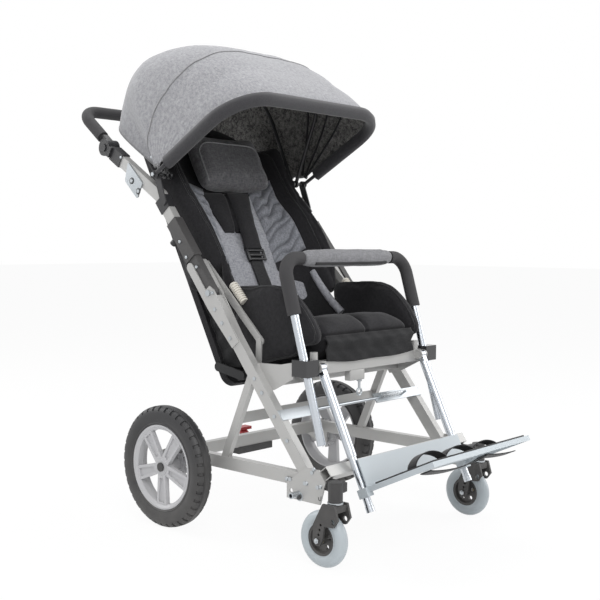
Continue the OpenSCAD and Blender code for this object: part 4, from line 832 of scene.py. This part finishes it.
back_liner = laid_grid("back_liner", liner_cloth, 56, 80, liner_place, 0.002, BACK_FACE)
fix(back_liner, "backrest", "grey_fabric")
for side, hand in LEFT_RIGHT:
    def roll_at(b, side=side):
        bow = math.sin(math.pi * b)
        y, z = AXLE_Y - 0.052 - 0.104 * b, 0.622 - 0.108 * b - 0.006 * bow
        return Vector((side * (0.168 - 0.003 * bow), y, z))

    def corner_place(a, b, side=side, roll_at=roll_at):
        back = on_back(side * 0.120, WING_FOOT - 0.140 * b, 0.002)
        sag = Vector(BACK_FACE) * (-0.014 * math.sin(math.pi * a))
        return back.lerp(roll_at(b), a) + sag

    roll_line = [roll_at(k / 10) for k in range(11)]
    roll = piping(f"hip_roll_{hand}", roll_line, 0.0105, liner_cloth, None, "grey_fabric")
    corner = laid_grid(f"corner_liner_{hand}", thin_cloth, 30, 40, corner_place, 0.002, BACK_FACE)
    for piece in (roll, corner):
        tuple(back_at(0, 0.180, 0.150))
        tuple(back_at(0, 0.270, 0.070))
        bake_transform(piece)

# Ruched side pads: blue-grey cloth over thin foam, sewn to the wings' inner slopes. The cloth is gathered
# along both long edges, which draws it into slanting ridges with narrow folds between them.
# The folds carry painted shade: a point attribute darkens the cloth's colour in them.
ruched_cloth = cloth_finish(
    "ruched_cloth", (0.330, 0.340, 0.372), (0.170, 0.177, 0.198), 420, 3.5, 0.3, 0.3, "painted_fold_shade",
)
RUCHED_X, RUCHED_WIDTH = 0.085, 0.082


def ruched_span(a):
    """Where a ruched pad starts, up along the back, and how long it is at a share of its width."""
    return 0.299 + 0.017 * a, 0.224 + 0.014 * a


def ridge_height(a, b):
    """How high the gathered cloth stands: 1 on a ridge, 0 in a fold."""
    uneven = noise.noise(Vector((3.1 * a, 6.5 * b, 0.7)))
    return abs(math.sin(23 * b - 3.4 * a + 1.9 * uneven)) ** (0.55 + 0.35 * uneven)


for side, hand in LEFT_RIGHT:
    def ruched_place(a, b, side=side):
        full = crowned(a, b, 4)
        low, length = ruched_span(a)
        fine = 0.0009 * math.sin(66 * b - 5 * a + 2 * math.sin(8 * a))
        lift = 0.002 + 0.004 * full + full * (0.0135 * ridge_height(a, b) + fine)
        return on_back(side * (RUCHED_X + RUCHED_WIDTH * a), low + length * b, lift)

    ruched = laid_grid(f"ruched_pad_{hand}", ruched_cloth, 30, 84, ruched_place, 0.006, BACK_FACE)
    co = points_of(ruched)
    a = (np.abs(co[:, 0]) - RUCHED_X) / RUCHED_WIDTH
    low, length = ruched_span(a)
    b = (back_places(co)[0] - low) / length
    # Painted shade for the folds: the attribute is low in a fold and darkens the colour there.
    fold_shade_layer = ruched.data.attributes.new("painted_fold_shade", "FLOAT", "POINT")
    fold_shade_layer.data.foreach_set("value", [min(1, ridge_height(*share) + 0.1) for share in zip(a, b)])
    fix(ruched, "backrest", "seat_panel")

# Chest harness: a black padded block and a padded shoulder cover in the middle of the back, on flat
# webbing that runs through a slide down to the seat.
webbing_cloth = cloth_finish("webbing_cloth", (0.024, 0.024, 0.026), (0.010, 0.010, 0.011), 620, 4.0, 0.6)


def block_place(a, b):
    u = 0.390 + 0.122 * b
    x = -0.064 - 0.046 * b + (0.110 + 0.079 * b) * a
    seam = groove(x + 0.024 - 0.007 * b, 0.0035)
    lift = 0.004 + 0.011 * crowned(a, b, 5) - 0.006 * seam + 0.0008 * math.sin(70 * x + 45 * u)
    return on_back(x, u, lift)


def strap_x(u):
    """Where the strap's middle runs, at a height up along the back."""
    return np.interp(
        u, (0.110, 0.232, 0.302, 0.363, 0.412, 0.510), (0.006, 0.009, 0.011, 0.014, 0.016, 0.027),
    )


def cover_place(a, b):
    u = 0.338 + 0.170 * b
    wide = np.interp(u, (0.338, 0.42, 0.508), (0.061, 0.065, 0.084))
    lift = 0.015 + 0.008 * crowned(a, b, 4) + 0.0006 * math.sin(120 * u)
    return on_back(strap_x(u) + wide * (a - 0.5), u, lift)


def webbing_place(a, b):
    u = 0.118 + 0.250 * b
    return on_back(strap_x(u) + 0.048 * (a - 0.5), u, 0.010 + 0.0012 * math.sin(38 * u))


chest_block = laid_grid("chest_block", black_cloth, 40, 40, block_place, 0.008, BACK_FACE)
strap_cover = laid_grid("strap_cover", black_cloth, 24, 60, cover_place, 0.010, BACK_FACE)
strap_webbing = laid_grid("strap_webbing", webbing_cloth, 12, 80, webbing_place, 0.002, BACK_FACE)
for piece in (chest_block, strap_cover, strap_webbing):
    fix(piece, "backrest", "black_fabric")
SLIDE_HALF, SLIDE_LIFT = 0.030, 0.014
bm = bmesh.new()
for u in (0.306, 0.318, 0.332):
    ends = [on_back(strap_x(u) + side * SLIDE_HALF, u, SLIDE_LIFT) for side in (-1, 1)]
    turned(bm, *ends, 0.0032, None, 12)
for side in (-1, 1):
    ends = [on_back(strap_x(u) + side * SLIDE_HALF, u, SLIDE_LIFT) for u in (0.302, 0.336)]
    turned(bm, *ends, 0.0042, None, 12, 0.001)
add_piece("strap_slide", bm, black_plastic, "backrest", "black_plastic", 40)

# Bellows boots: cream rubber over the hip guards' fixings, moulded in ribs and slipped on over the
# bolts.
boot_rubber = hard_finish("boot_rubber", (0.74, 0.71, 0.65), (0.62, 0.59, 0.52), (0.48, 0.62), 0, 700, 0.2)
BOOT_X, BOOT_RIBS, RIB_SHARE = 0.212, 9, 0.62
bm = bmesh.new()
for side in (-1, 1):
    low = Vector((side * BOOT_X, AXLE_Y - 0.169, 0.558))
    high = Vector((side * BOOT_X, AXLE_Y - 0.128, 0.600))
    for k in range(BOOT_RIBS):
        rib = [low.lerp(high, share / BOOT_RIBS) for share in (k, k + RIB_SHARE)]
        turned(bm, *rib, 0.0115, None, 24, 0.0012)
    turned(bm, low, high, 0.0088, None, 24)
add_piece("guard_boots", bm, boot_rubber, "chassis", "foam", 40)

# Push tubes and handle: plastic joint sleeves with release knobs, canopy clamps, handle hinges with
# push buttons, and a U handle in a foam grip. Zinc adapter plates are bolted to the tubes' outer sides.
sleeve_plastic = hard_finish(
    "sleeve_plastic", (0.062, 0.060, 0.060), (0.050, 0.048, 0.048), (0.42, 0.55), 0, 1000, 0.3,
)
grip_foam = hard_finish("grip_foam", (0.044, 0.043, 0.045), (0.028, 0.027, 0.029), (0.72, 0.88), 0, 1500, 0.6)
dress(sleeve_plastic, "fold_sleeves")
dress(
    black_plastic, "fold_knob_left", "fold_knob_right", "canopy_brackets", "handle_sockets", "handle_bar",
    "hinge_button_left", "hinge_button_right",
)
dress(grip_foam, "handle_grip", "bumper_foam")
ADAPTER_X, ADAPTER_WALL = 0.2686, 0.003
adapter_corners = ((0.2019, 0.9077), (0.1433, 0.8514), (0.1643, 0.8113), (0.2148, 0.8592))
bm = bmesh.new()
for side in (-1, 1):
    face = bm.faces.new([bm.verts.new((side * ADAPTER_X, y + AXLE_Y, z)) for y, z in adapter_corners])
    grown = bmesh.ops.extrude_face_region(bm, geom=[face])["geom"]
    outer = [v for v in grown if isinstance(v, bmesh.types.BMVert)]
    bmesh.ops.translate(bm, vec=(side * ADAPTER_WALL, 0, 0), verts=outer)
bmesh.ops.recalc_face_normals(bm, faces=bm.faces)
corner_edges = [e for e in bm.edges if abs(e.verts[0].co.x - e.verts[1].co.x) > 0.002]
bmesh.ops.bevel(bm, geom=corner_edges, offset=0.006, segments=4, profile=0.5, affect="EDGES", material=-1)
add_piece("adapter_plates", bm, zinc, "upper_frame", "zinc", 40)

BOLT_X, SLEEVE_X, TUBE_X = 0.2714, 0.2713, 0.2698
PIVOT_BACK, PIVOT_Z = 0.08483, 0.87041
pin_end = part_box("canopy_brackets")[1].x - 0.0004
adapter_bolts = ((BOLT_X, 0.186, 0.8585), (BOLT_X, 0.159, 0.831))
upper_pins = [
    *((0.0058, *bolt) for bolt in adapter_bolts), (0.0056, pin_end, PIVOT_BACK, PIVOT_Z),
    (0.0046, SLEEVE_X, -0.002, 0.7021), (0.0046, SLEEVE_X, -0.026, 0.6640), (0.0042, TUBE_X, 0.2323, 0.9214),
]
washers = [(0.0086, *bolt) for bolt in adapter_bolts]
prong_pins = [(0.0046, SLEEVE_X, -0.0632, 0.6411), (0.0046, SLEEVE_X, -0.1204, 0.5805)]
side_pins("upper_rivets", (zinc, "upper_frame", "zinc"), 0.0026, upper_pins, 0.8)
side_pins("adapter_washers", (black_plastic, "upper_frame", "black_plastic"), 0.0012, washers, 1, 28, 0.0004)
side_pins("prong_rivets", in_zinc, 0.0022, prong_pins, 36 / 46)

# Canopy: one sheet of grey heather cloth over three bows, lined in dark cloth, with a thick padded
# binding round the front bow. Its rear corners are drawn in, so that the raised handle passes them.
canopy_cloth = cloth_finish("canopy_cloth", (0.40, 0.40, 0.415), (0.23, 0.23, 0.245), 330, 3.2, 0.3)
lining_cloth = cloth_finish("lining_cloth", (0.22, 0.215, 0.205), (0.045, 0.044, 0.043), 300, 5.0, 0.3)
binding_cloth = cloth_finish("binding_cloth", (0.052, 0.051, 0.055), (0.034, 0.033, 0.036), 500, 2.0)
dress(black_plastic, "canopy_bow_rear", "canopy_bow_middle")
dress(binding_cloth, "canopy_bow_front")
PIVOT_Y = PIVOT_BACK + AXLE_Y
FRONT_ANGLE, REAR_ANGLE, HEM_ANGLE, EDGE_ANGLE = 29.5, 114, 150, 4
HOOD_ANGLE = HEM_ANGLE - FRONT_ANGLE
BOW_HALF, TAPER, CORNER_DRAW = 0.279, 0.012, 0.029
table_angles = np.arange(20, 160.5, 0.5)
reach_table = np.interp(
    table_angles, (29.5, 50, 70, 90, 110, 130, 150), (0.350, 0.336, 0.340, 0.344, 0.354, 0.358, 0.322),
)
power_table = np.interp(table_angles, (29.5, 50, 70, 110, 150), (5.5, 4.2, 3.8, 4.6, 4.6))
ease = np.hanning(25)
reach_table = np.convolve(np.pad(reach_table, 12, mode="edge"), ease / ease.sum(), mode="valid")


def hood_point(angle, turn, inset):
    """A point of the hood: angle above level about the pivot, turn along the arch from left to right."""
    share = (angle - FRONT_ANGLE) / HOOD_ANGLE
    power = np.interp(angle, table_angles, power_table)
    drawn_in = min(1, max(0, (share - 0.68) / 0.22))
    half = BOW_HALF - TAPER * share - CORNER_DRAW * drawn_in ** 2 * (3 - 2 * drawn_in) - inset
    reach = np.interp(angle, table_angles, reach_table) - inset
    lift = 0.014 * max(0, 1 - 5 * share) + 0.0004
    c, s = math.cos(math.radians(turn)), math.sin(math.radians(turn))
    r = (abs(c) ** power + abs(s) ** power) ** (-1 / power)
    low = max(0, 1 - s / 0.75) ** 2
    ruche = 0.0030 * low * math.sin(angle * 0.42) * min(1, share * 6)
    slack = 0.0022 * noise.noise(Vector((angle / 11, turn / 9, 0))) * min(1, share * 8)
    rho = reach * r * s + ruche + slack
    a = math.radians(angle)
    return Vector((
        half * r * c + math.copysign(ruche, c) * 0.8,
        PIVOT_Y - rho * math.cos(a) + lift * math.sin(a),
        PIVOT_Z + rho * math.sin(a) + lift * math.cos(a),
    ))


def arch_turn(share):
    """The turn along the arch at a share of the way from its left edge to its right edge."""
    return EDGE_ANGLE + (180 - 2 * EDGE_ANGLE) * share


def arch_line(angle, inset):
    """A line over the hood from its left edge to its right edge."""
    return [hood_point(angle, arch_turn(k / 40), inset) for k in range(41)]


def hood_sheet(name, material, inset, columns, rows):
    """A sheet of the hood from its front bow to its rear hem."""
    def place(a, b):
        return hood_point(FRONT_ANGLE + HOOD_ANGLE * b, arch_turn(a), inset)

    return laid_grid(name, material, columns, rows, place, 0.0012, (0, 0, 1), 0.0)


def on_bow(x, reach, angle):
    """A point in the plane of a bow: reach from the pivot, angle above level."""
    a = math.radians(angle)
    return Vector((x, PIVOT_Y - reach * math.cos(a), PIVOT_Z + reach * math.sin(a)))


hood = hood_sheet("canopy_hood", canopy_cloth, 0.0, 120, 90)
lining = hood_sheet("canopy_lining", lining_cloth, 0.0035, 72, 56)
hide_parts("canopy_fabric")
seam_path = (
    (66, 90), (66.5, 105), (67.5, 118), (70, 131), (75, 141), (82, 148.5), (91, 154), (103, 161.5),
    (124, 169.5),
)
steps = np.linspace(0, len(seam_path) - 1, 65)
seam_angles, seam_turns = (np.interp(steps, range(len(seam_path)), values) for values in zip(*seam_path))
trim_lines = [
    ("hood_seam_left", [hood_point(a, 180 - t, -0.0008) for a, t in zip(seam_angles, seam_turns)], 0.0019),
    ("hood_seam_right", [hood_point(a, t, -0.0008) for a, t in zip(seam_angles, seam_turns)], 0.0019),
    ("hood_rear_hem", arch_line(HEM_ANGLE - 0.8, 0.001), 0.0034),
]
for hand, turn in (("left", EDGE_ANGLE), ("right", 180 - EDGE_ANGLE)):
    line = [hood_point(FRONT_ANGLE + 2 + (HOOD_ANGLE - 3) * k / 60, turn, 0.001) for k in range(61)]
    trim_lines.append((f"hood_side_hem_{hand}", line, 0.0030))
hood_trims = [piping(*trim, edge_cloth, None, "grey_fabric") for trim in trim_lines]
zip_line = [hood_point(113 - 2 * k, 107.5 - 1.25 * k, -0.0006) for k in range(9)]
dark_lines = [("hood_zip", zip_line, 0.0016)]
dark_lines += [(f"lining_tape_{angle}", arch_line(angle, 0.0062), 0.0028) for angle in (47, 60, 80)]
hood_trims += [piping(*trim, piping_cloth, None, "black_fabric") for trim in dark_lines]
for piece in (hood, lining, *hood_trims):
    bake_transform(piece)
bm = bmesh.new()
for side in (-1, 1):
    for angle, turn in ((139, 12.1), (133.6, 6.4)):
        stud = hood_point(angle, turn if side > 0 else 180 - turn, 0)
        turned(bm, stud, stud + Vector((side * 0.0034, 0, 0)), 0.0052, 0.0040, 20, 0.0008)
add_piece("hood_studs", bm, zinc, "upper_frame", "zinc", 40)

BOW_REACH, BOW_BEND, BINDING_START, BINDING_OVAL = 0.346, 0.112, 0.056, 0.33
straight = BOW_REACH - BOW_BEND
half_bow = [(BOW_HALF, BINDING_START), (BOW_HALF, (BINDING_START + straight) / 2), (BOW_HALF, straight)]
for a in (math.radians(10 * k) for k in range(1, 10)):
    half_bow.append((BOW_HALF - BOW_BEND + BOW_BEND * math.cos(a), straight + BOW_BEND * math.sin(a)))
half_bow += [((BOW_HALF - BOW_BEND) * (1 - k / 4), BOW_REACH) for k in range(1, 4)]
whole_bow = [*half_bow, (0, BOW_REACH), *((-x, reach) for x, reach in reversed(half_bow))]
bow_points = [on_bow(x, reach, FRONT_ANGLE) for x, reach in whole_bow]
binding = piping("canopy_binding", bow_points, 0.0142, binding_cloth, "canopy_front", "foam")
co = points_of(binding)
bow_normal = np.array([0, math.sin(math.radians(FRONT_ANGLE)), math.cos(math.radians(FRONT_ANGLE))])
off_plane = (co - np.array([0, PIVOT_Y, PIVOT_Z])) @ bow_normal
put_points(binding, co + BINDING_OVAL * off_plane[:, None] * bow_normal)

# Bumper bar: a chromed U tube in two clamps, foam on its bends and a padded heather cover that is
# gathered and stitched under the bar.
chrome = hard_finish("chrome", (0.60, 0.635, 0.68), (0.50, 0.53, 0.57), (0.18, 0.28), 1.0, 200, 0.03)
clamp_plastic = hard_finish(
    "clamp_plastic", (0.020, 0.020, 0.022), (0.014, 0.014, 0.016), (0.10, 0.20), 0, 900, 0.08, 0.4,
)
cover_cloth = cloth_finish("cover_cloth", (0.25, 0.25, 0.26), (0.15, 0.15, 0.16), 330, 3.0)
dress(chrome, "bumper_bar", "footrest_tubes", "footrest_slides")
dress(clamp_plastic, "bumper_clamps")
bar_cover = soft_copy("bar_cover", "bumper_cover", cover_cloth, 0.001, 0.004, 6)
inflate([bar_cover], 0.004)
co = points_of(bar_cover)
ends = np.clip((np.abs(co[:, 0]) - 0.10) / 0.07, 0, 1)
gathers = creases(co * np.array([2.2, 1, 1]), 0.03, 0.0022, 11) * ends
carve(bar_cover, gathers + creases(co, 0.05, 0.0010, 12))
upholster(bar_cover, "bumper_cover", "bumper", "grey_fabric")
SLIT_HALF, SLIT_STEPS = 0.135, 24
cover_low, cover_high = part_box("bumper_cover")
cover_middle = (cover_low + cover_high) / 2
cover_skin = skin_of(bar_cover)
front_low = Vector((0, -0.80, -0.60))
slit = []
for k in range(SLIT_STEPS + 1):
    middle = Vector((SLIT_HALF * (2 * k / SLIT_STEPS - 1), *cover_middle.yz))
    slit.append(resting(cover_skin, middle + front_low * 0.06, middle, 0.0004))
piping("cover_opening", slit, 0.0040, piping_cloth, "bumper", "black_fabric")

# Footrest: chromed tubes on hinge lugs, telescoping inner tubes with rubber tips, and a bent foot
# plate in pale coated steel. It carries a ribbed rubber mat, three foot loops and a strap underneath.
plate_coat = hard_finish(
    "plate_coat", (0.50, 0.545, 0.575), (0.44, 0.485, 0.515), (0.40, 0.50), 0.1, 500, 0.06,
)
mat_rubber = hard_finish(
    "mat_rubber", (0.030, 0.030, 0.032), (0.018, 0.018, 0.020), (0.62, 0.78), 0, 900, 0.5,
)
dress(plate_coat, "footplate")
foot_at = leaning(AXLE_Y - 0.400, 0.418, 25.7)[0]
MAT_UP, MAT_RIBS = -0.2812, 30


def mat_place(a, b):
    rib = 0.0003 * math.sin(math.tau * MAT_RIBS * b)
    return foot_at(-0.185 + 0.370 * a, MAT_UP + rib, 0.030 + 0.170 * b)


foot_mat = laid_grid("foot_mat", mat_rubber, 4, 180, mat_place, 0.0036, (0, 0, 1))
fix(foot_mat, "foot_slide", "black_rubber")
loop_sizes = ((-0.158, -0.052, 0.026), (-0.046, 0.058, 0.022), (0.064, 0.158, 0.018))
for number, (inner, outer, rise) in enumerate(loop_sizes, 1):
    def loop_place(a, b, inner=inner, outer=outer, rise=rise):
        lift = rise * math.sin(math.pi * b) ** 0.6
        return foot_at(inner + (outer - inner) * b, MAT_UP + 0.0006 + lift, 0.105 + 0.025 * a + 0.012 * b)

    loop = laid_grid(f"foot_loop_{number}", webbing_cloth, 8, 48, loop_place, 0.002, (0, 0, 1))
    fix(loop, "foot_slide", "black_fabric")


def under_place(a, b):
    slack = 0.011 * abs(math.sin(1.5 * math.pi * b)) ** 0.7
    return foot_at(-0.180 + 0.340 * b, -0.2995 - slack, 0.150 + 0.030 * a)


plate_strap = laid_grid("plate_strap", webbing_cloth, 8, 72, under_place, 0.002, (0, 0, -1))
fix(plate_strap, "foot_slide", "black_fabric")
